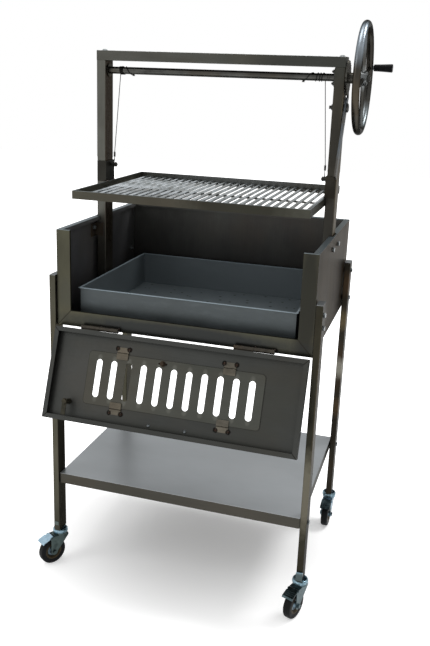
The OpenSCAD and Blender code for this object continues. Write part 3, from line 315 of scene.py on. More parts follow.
@dataclass(frozen=True)
class BrushedSteel(Finish):
    """Stainless sheet or tube with a belt-brushed face, heat tints and handling marks, and where set a
    painted sheen that lightens the top face.

    The brush lines are drawn about 1.5 mm apart, far coarser than the real
    0.1 mm, so that they show in the render as a faint grain.
    """

    dark: str = "4a4a45"
    light: str = "5e5e58"
    tint: str = "554b3f"
    # edge is the colour of the painted sheen that lightens the top face.
    edge: str = "9fa6a8"
    grain: Grain = Grain.Z
    rough: float = 0.36
    metallic: float = 0.85
    patches: float = 9.0
    tint_share: float = 0.45
    lines: float = 0.1
    flat_angle: str = "8a8a88"
    # Height above which the top face gets the painted sheen; None for no sheen.
    painted_sheen_above: Optional[float] = None
    stains_and_painted_light: tuple[StainAndPaintedLight, ...] = ()
    scorches: tuple[Scorch, ...] = ()
    scorch_edge: str = "13110f"
    scorch_core: str = "35241a"
    seams: tuple[Seam, ...] = ()
    outline: Optional[Outline] = None
    outside: str = "50504b"

    def dress(self, tree: bpy.types.NodeTree, shader: bpy.types.Node, coords: Any) -> None:
        """Brushed base, tint clouds, a painted sheen on the top face, patches of stain and painted light,
        seams and scorches.
        """
        clouds = noise(tree, coords, self.grain.stretch(self.patches * 0.5, self.patches), 4.0)
        tone = mix(tree, ramp(tree, clouds, 0.3, 0.7), colour(self.dark), colour(self.light))
        heat = noise(tree, coords, self.grain.stretch(2.6, 5.0), 3.0, (3.1, 1.7, 5.3))
        heat = maths(tree, "MULTIPLY", ramp(tree, heat, 0.48, 0.66), self.tint_share)
        tone = mix(tree, heat, tone, colour(self.tint))
        brush = noise(tree, coords, self.grain.stretch(14.0, 640.0), 2.0)
        tone = mix(tree, self.lines, tone, ramp(tree, brush, 0.2, 0.8), "OVERLAY")
        rough = maths(tree, "MULTIPLY_ADD", brush, 0.1)
        rough.node.inputs[2].default_value = self.rough - 0.05
        cloudy = maths(tree, "MULTIPLY", maths(tree, "SUBTRACT", clouds, 0.5), 0.16)
        rough = maths(tree, "ADD", rough, cloudy)
        tone = self.extra(tree, coords, tone)
        height = add(tree, "SeparateXYZ", None, Vector=coords).outputs["Z"]
        if self.stains_and_painted_light:
            tone = lay_stains_and_painted_light(tree, coords, tone, self.stains_and_painted_light)
        # Painted sheen: the top face is painted lighter, towards the edge colour.
        if self.painted_sheen_above is not None:
            top = maths(tree, "GREATER_THAN", height, self.painted_sheen_above)
            top_sheen = mix(tree, ramp(tree, clouds, 0.25, 0.8), colour(self.edge), tone)
            top_sheen = mix(tree, 0.8, top_sheen, colour(self.edge))
            tone = mix(tree, top, tone, top_sheen)
        for seam in self.seams:
            tone = mix(tree, self.seam_mask(tree, coords, seam), tone, colour("1d1a16"))
        if self.outline is not None:
            tone = self.outlined(tree, coords, tone, self.outline)
        if self.scorches:
            tone, rough = self.scorch(tree, coords, tone, rough)
        tree.links.new(tone, shader.inputs["Base Color"])
        tree.links.new(rough, shader.inputs["Roughness"])
        shader.inputs["Metallic"].default_value = self.metallic
        shader.inputs["Specular Tint"].default_value = colour(self.flat_angle)
        bump = add(tree, "Bump", None, Strength=0.06, Distance=0.0004, Height=brush)
        tree.links.new(bump.outputs[0], shader.inputs["Normal"])

    def extra(self, tree: bpy.types.NodeTree, coords: Any, tone: Any) -> Any:
        """Room for a finish that adds a layer of its own; the plain one adds none."""
        return tone

    def outlined(
        self, tree: bpy.types.NodeTree, coords: Any, tone: Any, shape: Outline
    ) -> Any:
        """Draw a plate's rounded outline; past it the colour is the sheet's beneath.

        Args:
            tree: the node tree.
            coords: object coordinates.
            tone: colour so far.
            shape: the rounded rectangle.

        Returns:
            The new colour's socket.
        """
        away = add(
            tree, "VectorMath", {"operation": "SUBTRACT"}, in0=coords, in1=shape.middle
        ).outputs[0]
        past = []
        for way, half in ((shape.along, shape.half_l), (shape.up, shape.half_h)):
            part = add(
                tree, "VectorMath", {"operation": "DOT_PRODUCT"}, in0=away, in1=way
            ).outputs["Value"]
            over = maths(tree, "SUBTRACT", maths(tree, "ABSOLUTE", part), half - shape.corner)
            past.append(maths(tree, "MAXIMUM", over, 0.0))
        squares = maths(
            tree, "ADD", maths(tree, "POWER", past[0], 2.0), maths(tree, "POWER", past[1], 2.0)
        )
        gap = maths(tree, "SUBTRACT", maths(tree, "SQRT", squares), shape.corner)
        beyond = ramp(tree, gap, -shape.line * 0.5, shape.line * 0.5)
        near = ramp(tree, maths(tree, "ABSOLUTE", gap), shape.line * 1.5, shape.line * 0.4)
        tone = mix(tree, beyond, tone, colour(self.outside))
        return mix(tree, maths(tree, "MULTIPLY", near, 0.85), tone, colour("1f1d1a"))

    def seam_mask(self, tree: bpy.types.NodeTree, coords: Any, seam: Seam) -> Any:
        """Mask that is 1 on a line segment and 0 a little beside it.

        Args:
            tree: the node tree.
            coords: object coordinates.
            seam: the line.

        Returns:
            The mask's socket.
        """
        start, way = Vector(seam.start), Vector(seam.end) - Vector(seam.start)
        from_start = add(
            tree, "VectorMath", {"operation": "SUBTRACT"}, in0=coords, in1=tuple(start)
        ).outputs[0]
        along = add(
            tree, "VectorMath", {"operation": "DOT_PRODUCT"}, in0=from_start, in1=tuple(way.normalized())
        ).outputs["Value"]
        clamped = maths(tree, "MINIMUM", maths(tree, "MAXIMUM", along, 0.0), way.length)
        foot = add(
            tree, "VectorMath", {"operation": "SCALE"}, in0=tuple(way.normalized())
        )
        tree.links.new(clamped, foot.inputs["Scale"])
        away = add(
            tree, "VectorMath", {"operation": "DISTANCE"}, in0=from_start, in1=foot.outputs[0]
        ).outputs["Value"]
        return ramp(tree, away, seam.width * 1.6, seam.width * 0.5)

    def scorch(
        self, tree: bpy.types.NodeTree, coords: Any, tone: Any, rough: Any
    ) -> tuple[Any, Any]:
        """Burnt places: a dark ring with a rust-brown middle.

        Args:
            tree: the node tree.
            coords: object coordinates.
            tone: colour so far.
            rough: roughness so far.

        Returns:
            The new colour and roughness sockets.
        """
        ragged = noise(tree, coords, (160.0, 160.0, 160.0), 3.0)
        near: Any = None
        for spot in self.scorches:
            away = add(
                tree, "VectorMath", {"operation": "DISTANCE"}, in0=coords, in1=spot.at
            ).outputs["Value"]
            mask = ramp(tree, away, spot.radius, spot.radius * 0.25)
            near = mask if near is None else maths(tree, "MAXIMUM", near, mask)
        reach = maths(tree, "MULTIPLY_ADD", near, 1.5)
        reach.node.inputs[2].default_value = -0.55
        burnt = ramp(tree, maths(tree, "ADD", reach, ragged), 0.35, 0.8)
        core = ramp(tree, maths(tree, "ADD", reach, ragged), 1.15, 1.45)
        tone = mix(tree, maths(tree, "MULTIPLY", burnt, 0.9), tone, colour(self.scorch_edge))
        tone = mix(tree, core, tone, colour(self.scorch_core))
        rough = maths(tree, "ADD", rough, maths(tree, "MULTIPLY", burnt, 0.3))
        return tone, rough


@dataclass(frozen=True)
class WallSheetWithPaintedReflection(BrushedSteel):
    """Wall sheet: sooty inside, and outside a film-bright face that ripples, drawn as a painted reflection.

    The ripples outside are hammer and heat distortion about 20 mm apart, which
    break the reflections into dark curls on a brown-grey ground; the curls and the
    ground are painted reflection in the colour, and the shape has no ripples.
    """

    outer_x: float = 0.3995
    soot_low: float = 0.86
    soot_high: float = 1.12
    soot: str = "2c2c2d"
    # outer_dark, outer_light and curl are the colours of the painted reflection outside.
    outer_dark: str = "2f271a"
    outer_light: str = "41382a"
    curl: str = "0b0906"
    flat_angle: str = "4c4942"

    def extra(self, tree: bpy.types.NodeTree, coords: Any, tone: Any) -> Any:
        """Soot rising inside, and outside a painted reflection of dark curls on a brown-grey ground."""
        split = add(tree, "SeparateXYZ", None, Vector=coords)
        smoke = noise(tree, coords, (5.0, 5.0, 5.0), 4.0, (1.0, 4.0, 2.0))
        height = maths(tree, "MULTIPLY_ADD", maths(tree, "SUBTRACT", smoke, 0.5), 0.25)
        tree.links.new(split.outputs["Z"], height.node.inputs[2])
        sooty = ramp(tree, height, self.soot_high, self.soot_low)
        inside = mix(tree, maths(tree, "MULTIPLY", sooty, 0.7), tone, colour(self.soot))
        # Painted reflection outside: dark curls on a brown-grey ground.
        base = noise(tree, coords, (16.0, 16.0, 11.0), 4.0, (7.0, 3.0, 1.0))
        face = mix(
            tree, ramp(tree, base, 0.35, 0.65), colour(self.outer_dark), colour(self.outer_light)
        )
        flat = add(tree, "Mapping", None, Vector=coords, Scale=(27.0, 27.0, 56.0))
        bent = add(
            tree,
            "TexNoise",
            None,
            Vector=flat.outputs[0],
            Scale=1.0,
            Detail=2.5,
            Roughness=0.6,
            Distortion=2.0,
        ).outputs[0]
        line = ramp(tree, maths(tree, "ABSOLUTE", maths(tree, "SUBTRACT", bent, 0.5)), 0.06, 0.015)
        calm = ramp(tree, noise(tree, coords, (6.0, 6.0, 6.0), 2.0, (2.0, 5.0, 9.0)), 0.4, 0.62)
        face = mix(tree, maths(tree, "MULTIPLY", line, calm), face, colour(self.curl))
        outer = maths(tree, "ABSOLUTE", split.outputs["X"])
        return mix(tree, maths(tree, "GREATER_THAN", outer, self.outer_x), inside, face)


@dataclass(frozen=True)
class MillScaleSheet(Finish):
    """Blue-grey rolled steel of the pan, with a lip painted lighter as a sheen, an inside painted lighter and
    dark specks.

    The specks are about 4 mm across and 60 mm apart, as on the photographed pan.
    """

    dark: str = "3b4041"
    light: str = "464c4e"
    # lip is the colour of a painted sheen on the top edge, and inner the lighter colour painted inside.
    lip: str = "7f8c93"
    inner: str = "666e72"
    lip_above: float = 0.0
    floor_below: float = 0.0
    middle: Point = (0.0, 0.0, 0.0)
    half: tuple[float, float] = (0.3, 0.2)

    def dress(self, tree: bpy.types.NodeTree, shader: bpy.types.Node, coords: Any) -> None:
        """Clouded blue-grey outside, an inside painted lighter, specks on the floor, a painted sheen on the
        lip.
        """
        clouds = noise(tree, coords, (6.0, 6.0, 9.0), 5.0)
        tone = mix(tree, ramp(tree, clouds, 0.3, 0.7), colour(self.dark), colour(self.light))
        wipes = noise(tree, coords, (20.0, 20.0, 60.0), 3.0, (4.0, 9.0, 2.0))
        tone = mix(
            tree, maths(tree, "MULTIPLY", ramp(tree, wipes, 0.5, 0.8), 0.35), tone, colour("555c5e")
        )
        away = add(
            tree, "VectorMath", {"operation": "SUBTRACT"}, in0=coords, in1=self.middle
        ).outputs[0]
        split = add(tree, "SeparateXYZ", None, Vector=away)
        across = maths(tree, "LESS_THAN", maths(tree, "ABSOLUTE", split.outputs["X"]), self.half[0])
        along = maths(tree, "LESS_THAN", maths(tree, "ABSOLUTE", split.outputs["Y"]), self.half[1])
        inside = maths(tree, "MULTIPLY", across, along)
        # Painted light: the inside of the pan is painted lighter than the outside, a lit copy of the sheet.
        tone = mix(tree, maths(tree, "MULTIPLY", inside, 0.8), tone, colour(self.inner))
        spots = add(
            tree,
            "TexVoronoi",
            {"feature": "F1", "voronoi_dimensions": "2D"},
            Vector=coords,
            Scale=17.0,
            Randomness=1.0,
        )
        size = maths(tree, "MULTIPLY_ADD", clouds, 0.12)
        size.node.inputs[2].default_value = 0.015
        speck = maths(tree, "LESS_THAN", spots.outputs["Distance"], size)
        height = add(tree, "SeparateXYZ", None, Vector=coords).outputs["Z"]
        low = maths(tree, "MULTIPLY", maths(tree, "LESS_THAN", height, self.floor_below), inside)
        tone = mix(tree, maths(tree, "MULTIPLY", speck, low), tone, colour("141517"))
        # Painted sheen: the top of the lip is painted lighter.
        high = maths(tree, "GREATER_THAN", height, self.lip_above)
        tone = mix(tree, high, tone, colour(self.lip))
        tree.links.new(tone, shader.inputs["Base Color"])
        rough = maths(tree, "MULTIPLY_ADD", clouds, 0.2)
        rough.node.inputs[2].default_value = 0.38
        tree.links.new(rough, shader.inputs["Roughness"])
        shader.inputs["Metallic"].default_value = 0.55
        grit = noise(tree, coords, (500.0, 500.0, 500.0), 2.0)
        bump = add(tree, "Bump", None, Strength=0.06, Distance=0.0003, Height=grit)
        tree.links.new(bump.outputs[0], shader.inputs["Normal"])


@dataclass(frozen=True)
class PlatedZinc(Finish):
    """Bright zinc plate on pressed steel, with a blue cast and faint blotches."""

    dark: str = "5d6d76"
    light: str = "a8bac4"
    deep: str = "2b3337"
    rough: float = 0.28
    size: float = 40.0
    stains_and_painted_light: tuple[StainAndPaintedLight, ...] = ()

    def dress(self, tree: bpy.types.NodeTree, shader: bpy.types.Node, coords: Any) -> None:
        """Blue-grey metal with blotches about 25 mm across."""
        clouds = noise(tree, coords, (self.size, self.size, self.size), 4.0)
        tone = mix(tree, ramp(tree, clouds, 0.35, 0.65), colour(self.dark), colour(self.light))
        shady = noise(tree, coords, (self.size * 1.7,) * 3, 3.0, (8.0, 1.0, 4.0))
        tone = mix(
            tree, maths(tree, "MULTIPLY", ramp(tree, shady, 0.5, 0.66), 0.75), tone, colour(self.deep)
        )
        if self.stains_and_painted_light:
            tone = lay_stains_and_painted_light(tree, coords, tone, self.stains_and_painted_light)
        fine = noise(tree, coords, (900.0, 900.0, 900.0), 2.0)
        tree.links.new(tone, shader.inputs["Base Color"])
        rough = maths(tree, "MULTIPLY_ADD", clouds, 0.2)
        rough.node.inputs[2].default_value = self.rough - 0.08
        tree.links.new(rough, shader.inputs["Roughness"])
        shader.inputs["Metallic"].default_value = 0.9
        bump = add(tree, "Bump", None, Strength=0.1, Distance=0.0002, Height=fine)
        tree.links.new(bump.outputs[0], shader.inputs["Normal"])


@dataclass(frozen=True)
class PolishedBar(Finish):
    """Polished round bar: clear reflections with tan and blue-white patches of wear."""

    dark: str = "6b6b66"
    light: str = "b9c0c4"
    warm: str = "7d6a50"
    stains_and_painted_light: tuple[StainAndPaintedLight, ...] = ()
    flat_angle: str = "b4b4b2"
    rough: float = 0.2
    grain: Grain = Grain.Y
    warm_share: float = 0.6

    def dress(self, tree: bpy.types.NodeTree, shader: bpy.types.Node, coords: Any) -> None:
        """Bright metal with soft colour clouds and fine turning lines."""
        clouds = noise(tree, coords, (14.0, 14.0, 14.0), 4.0)
        tone = mix(tree, ramp(tree, clouds, 0.35, 0.65), colour(self.dark), colour(self.light))
        warm = ramp(tree, noise(tree, coords, (9.0, 9.0, 9.0), 3.0, (2.0, 7.0, 1.0)), 0.5, 0.62)
        tone = mix(tree, maths(tree, "MULTIPLY", warm, self.warm_share), tone, colour(self.warm))
        if self.stains_and_painted_light:
            tone = lay_stains_and_painted_light(tree, coords, tone, self.stains_and_painted_light)
        lines = noise(tree, coords, self.grain.stretch(12.0, 800.0), 2.0)
        tree.links.new(tone, shader.inputs["Base Color"])
        rough = maths(tree, "MULTIPLY_ADD", lines, 0.15)
        rough.node.inputs[2].default_value = self.rough - 0.06
        tree.links.new(rough, shader.inputs["Roughness"])
        shader.inputs["Metallic"].default_value = 0.95
        shader.inputs["Specular Tint"].default_value = colour(self.flat_angle)
        bump = add(tree, "Bump", None, Strength=0.08, Distance=0.0002, Height=lines)
        tree.links.new(bump.outputs[0], shader.inputs["Normal"])


@dataclass(frozen=True)
class MouldedPart(Finish):
    """Moulded rubber or plastic: even colour, fine grain and dusty wear."""

    base: str = "1a1b1d"
    dust: str = "3a3733"
    rough: float = 0.55
    gloss: float = 0.25
    dust_share: float = 0.35
    grit: float = 700.0

    def dress(self, tree: bpy.types.NodeTree, shader: bpy.types.Node, coords: Any) -> None:
        """Even base with a dusty cloud and a fine moulded grain."""
        clouds = ramp(tree, noise(tree, coords, (45.0, 45.0, 45.0), 5.0), 0.45, 0.75)
        share = maths(tree, "MULTIPLY", clouds, self.dust_share)
        tone = mix(tree, share, colour(self.base), colour(self.dust))
        fine = noise(tree, coords, (self.grit, self.grit, self.grit), 2.0)
        tree.links.new(tone, shader.inputs["Base Color"])
        rough = maths(tree, "MULTIPLY_ADD", clouds, 0.2)
        rough.node.inputs[2].default_value = self.rough
        tree.links.new(rough, shader.inputs["Roughness"])
        shader.inputs["Specular IOR Level"].default_value = self.gloss
        bump = add(tree, "Bump", None, Strength=0.15, Distance=0.0003, Height=fine)
        tree.links.new(bump.outputs[0], shader.inputs["Normal"])


@dataclass(frozen=True)
class WeldMetal(Finish):
    """Weld bead left as laid: dark scale with rust in the ripples."""

    def dress(self, tree: bpy.types.NodeTree, shader: bpy.types.Node, coords: Any) -> None:
        """Dark brown scale, rust and grey mixed at bead size, about 3 mm."""
        clouds = noise(tree, coords, (320.0, 320.0, 320.0), 4.0)
        tone = mix(tree, ramp(tree, clouds, 0.35, 0.6), colour("13110f"), colour("322c26"))
        rust = ramp(tree, noise(tree, coords, (120.0, 120.0, 120.0), 3.0, (5, 1, 2)), 0.52, 0.66)
        tone = mix(tree, maths(tree, "MULTIPLY", rust, 0.4), tone, colour("4a3120"))
        tree.links.new(tone, shader.inputs["Base Color"])
        shader.inputs["Roughness"].default_value = 0.6
        shader.inputs["Metallic"].default_value = 0.4
        bump = add(tree, "Bump", None, Strength=0.4, Distance=0.0006, Height=clouds)
        tree.links.new(bump.outputs[0], shader.inputs["Normal"])


# ---------------------------------------------------------------- making pieces
def finished(name: str, bm: bmesh.types.BMesh, finish: Finish, smooth: float = 35.0) -> Any:
    """Turn a bmesh into a finished object at the origin.

    Args:
        name: the piece's name.
        bm: the shape, freed here.
        finish: its finish.
        smooth: edges sharper than this, in degrees, stay sharp.

    Returns:
        The new object.
    """
    bmesh.ops.remove_doubles(bm, verts=bm.verts, dist=1e-6)
    bmesh.ops.recalc_face_normals(bm, faces=bm.faces)
    for face in bm.faces:
        face.smooth = True
    for edge in bm.edges:
        if len(edge.link_faces) == 2:
            edge.smooth = edge.calc_face_angle(0.0) < math.radians(smooth)
    mesh = bpy.data.meshes.new(name)
    bm.to_mesh(mesh)
    bm.free()
    piece = bpy.data.objects.new(name, mesh)
    bpy.context.scene.collection.objects.link(piece)
    piece.data.materials.append(finish.material())
    return piece


def tube_along(
    bm: bmesh.types.BMesh, paths: Iterable[Sequence[Vector]], radii: Sequence[float] | float, sides: int
) -> None:
    """Add round tubes along paths to a bmesh, with closed ends.

    Args:
        bm: the shape that gets the tubes.
        paths: one list of points for each tube.
        radii: one radius, or one for each point.
        sides: faces round the tube.
    """
    for path in paths:
        curve = bpy.data.curves.new("path", "CURVE")
        curve.dimensions = "3D"
        curve.bevel_mode = "ROUND"
        curve.bevel_depth = 1.0
        curve.bevel_resolution = max(0, sides // 2 - 2)
        curve.use_fill_caps = True
        line = curve.splines.new("POLY")
        line.points.add(len(path) - 1)
        for i, point in enumerate(path):
            line.points[i].co = (*point, 1.0)
            line.points[i].radius = radii if isinstance(radii, float) else radii[i]
        holder = bpy.data.objects.new("path", curve)
        mesh = holder.to_mesh()
        bm.from_mesh(mesh)
        holder.to_mesh_clear()
        bpy.data.objects.remove(holder)
        bpy.data.curves.remove(curve)


def spun(
    bm: bmesh.types.BMesh,
    outline: Sequence[tuple[float, float]],
    centre: Vector,
    axis: Vector,
    steps: int,
) -> None:
    """Spin a closed outline about an axis.

    Args:
        bm: the shape that gets the ring.
        outline: pairs of distance along the axis and radius, going round the section.
        centre: a point on the axis.
        axis: the axis.
        steps: faces round the axis.
    """
    along = axis.normalized()
    out = along.orthogonal().normalized()
    verts = [bm.verts.new(centre + a * along + r * out) for a, r in outline]
    edges = [bm.edges.new((verts[i - 1], verts[i])) for i in range(len(verts))]
    bmesh.ops.spin(
        bm,
        geom=verts + edges,
        cent=centre,
        axis=along,
        angle=math.tau,
        steps=steps,
        use_merge=True,
    )


def block(
    bm: bmesh.types.BMesh, low: Sequence[float], high: Sequence[float], soften: float = 0.0
) -> list[bmesh.types.BMVert]:
    """Add a box between two corners, with its edges rounded over.

    Args:
        bm: the shape that gets the box.
        low: lowest corner.
        high: highest corner.
        soften: radius of the edges, 0 for none.

    Returns:
        The box's vertices.
    """
    size = Vector(high) - Vector(low)
    middle = (Vector(high) + Vector(low)) / 2
    made = bmesh.ops.create_cube(bm, size=1.0)["verts"]
    bmesh.ops.scale(bm, vec=size, verts=made)
    bmesh.ops.translate(bm, vec=middle, verts=made)
    if soften <= 0:
        return made
    edges = list({edge for vert in made for edge in vert.link_edges})
    result = bmesh.ops.bevel(
        bm,
        geom=edges,
        offset=soften,
        offset_type="OFFSET",
        affect="EDGES",
        segments=2,
        profile=0.5,
        material=-1,
    )
    return result["verts"]


# ---------------------------------------------------------------- the grill
@dataclass(frozen=True)
class DoorPlane:
    """Frame of the hanging door: X along the hinge, then out, then to the free edge."""

    axis_y: float = -318.5
    axis_z: float = 852.0
    turn: float = 159.0

    def at(self, x: float, out: float, up: float) -> Point:
        """Place of a point of the closed door as it hangs, all in millimetres.

        Args:
            x: along the hinge.
            out: towards the firebox when closed.
            up: from the hinge axis to the free edge.

        Returns:
            The point in the row frame, in metres.
        """
        c, s = math.cos(math.radians(self.turn)), math.sin(math.radians(self.turn))
        y, z = self.axis_y + out * c - up * s, self.axis_z + out * s + up * c
        return x * MM, y * MM, z * MM

    def matrix(self) -> Matrix:
        """Matrix from door millimetres to row metres."""
        origin = Vector((0.0, self.axis_y, self.axis_z)) * MM
        turn = Matrix.Rotation(math.radians(self.turn), 4, "X")
        return Matrix.Translation(origin) @ turn @ Matrix.Scale(MM, 4)


@dataclass
class PhotoCamera:
    """Camera at the photograph's viewpoint."""

    place: Point = (0.7253, -2.4409, 1.6093)
    yaw: float = 16.975
    pitch: float = 15.933
    roll: float = 1.968
    focal_px: float = 797.43
    centre_px: tuple[float, float] = (204.12, 302.19)
    sensor: float = 36.0

    def build(self) -> bpy.types.Object:
        """Make the camera and set it as the scene's own.

        Returns:
            The camera object.
        """
        yaw, pitch, roll = (math.radians(a) for a in (self.yaw, self.pitch, self.roll))
        level = Vector((math.cos(yaw), math.sin(yaw), 0.0))
        ahead = Vector(
            (
                -math.cos(pitch) * math.sin(yaw),
                math.cos(pitch) * math.cos(yaw),
                -math.sin(pitch),
            )
        )
        over = level.cross(ahead)
        right = math.cos(roll) * level + math.sin(roll) * over
        up = -math.sin(roll) * level + math.cos(roll) * over
        data = bpy.data.cameras.new("photo_camera")
        width, height = IMAGE_SIZE
        data.sensor_fit = "VERTICAL"
        data.sensor_height = self.sensor
        data.lens = self.focal_px * self.sensor / height
        data.shift_x = (width / 2 - self.centre_px[0]) / height
        data.shift_y = (self.centre_px[1] - height / 2) / height
        data.clip_end = 50.0
        camera = bpy.data.objects.new("photo_camera", data)
        turn = Matrix((right, up, -ahead)).transposed().to_4x4()
        camera.matrix_world = Matrix.Translation(self.place) @ turn
        bpy.context.scene.collection.objects.link(camera)
        bpy.context.scene.camera = camera
        return camera


@dataclass
class Studio:
    """White floor, white world and soft lamps."""

    floor_size: float = 12.0
    world_light: float = 0.72
    glow_near: float = 0.1
    glow_far: float = 1.0
    near: float = 0.15
    far: float = 1.1
    lamps: tuple[tuple[str, Point, float, float], ...] = (
        ("key_lamp", (1.9, 1.5, 3.6), 1.2, 60.0),
        ("fill_lamp", (-2.2, -2.0, 2.8), 2.0, 26.0),
        ("top_lamp", (-0.2, 0.2, 3.9), 1.6, 30.0),
    )
    aim: Point = (0.0, 0.0, 0.8)

    def build(self) -> None:
        """Make the floor, the world and the lamps."""
        self.floor()
        self.world()
        for name, place, size, power in self.lamps:
            data = bpy.data.lights.new(name, "AREA")
            data.shape = "DISK"
            data.size = size
            data.energy = power
            lamp = bpy.data.objects.new(name, data)
            way = Vector(self.aim) - Vector(place)
            lamp.matrix_world = (
                Matrix.Translation(place) @ way.to_track_quat("-Z", "Y").to_matrix().to_4x4()
            )
            bpy.context.scene.collection.objects.link(lamp)

    def floor(self) -> None:
        """White floor that keeps the shadow."""
        bm = bmesh.new()
        bmesh.ops.create_grid(bm, x_segments=1, y_segments=1, size=self.floor_size)
        mesh = bpy.data.meshes.new("floor")
        bm.to_mesh(mesh)
        bm.free()
        floor = bpy.data.objects.new("floor", mesh)
        bpy.context.scene.collection.objects.link(floor)
        paint = bpy.data.materials.new("white_floor")
        paint.use_nodes = True
        tree = paint.node_tree
        tree.nodes.clear()
        matt = add(tree, "BsdfDiffuse", None, Color=(0.92, 0.92, 0.92, 1.0))
        coords = add(tree, "TexCoord").outputs["Object"]
        away = add(tree, "VectorMath", {"operation": "LENGTH"}, in0=coords).outputs["Value"]
        level = add(
            tree,
            "MapRange",
            {"clamp": True, "interpolation_type": "SMOOTHSTEP"},
            Value=away,
            From_Min=self.near,
            From_Max=self.far,
            To_Min=self.glow_near,
            To_Max=self.glow_far,
        ).outputs[0]
        glow = add(tree, "Emission", None, Color=(1.0, 1.0, 1.0, 1.0), Strength=level)
        ray = add(tree, "LightPath")
        seen = maths(tree, "MAXIMUM", ray.outputs["Is Camera Ray"], ray.outputs["Is Glossy Ray"])
        seen = maths(tree, "MAXIMUM", seen, ray.outputs["Is Transmission Ray"])
        both = add(tree, "AddShader", None, in0=matt.outputs[0], in1=glow.outputs[0])
        pick = add(tree, "MixShader", None, in0=seen, in1=matt.outputs[0], in2=both.outputs[0])
        output = add(tree, "OutputMaterial")
        tree.links.new(pick.outputs[0], output.inputs[0])
        floor.data.materials.append(paint)

    def world(self) -> None:
        """White background, with a plainer light level for the surfaces."""
        world = bpy.data.worlds.new("white_room")
        bpy.context.scene.world = world
        world.use_nodes = True
        tree = world.node_tree
        tree.nodes.clear()
        ray = add(tree, "LightPath")
        seen = maths(tree, "MAXIMUM", ray.outputs["Is Camera Ray"], ray.outputs["Is Glossy Ray"])
        seen = maths(tree, "MAXIMUM", seen, ray.outputs["Is Transmission Ray"])
        strength = add(
            tree, "MapRange", None, Value=seen, To_Min=self.world_light, To_Max=1.0
        ).outputs[0]
        back = add(tree, "Background", None, Color=(1.0, 1.0, 1.0, 1.0), Strength=strength)
        output = add(tree, "OutputWorld")
        tree.links.new(back.outputs[0], output.inputs[0])


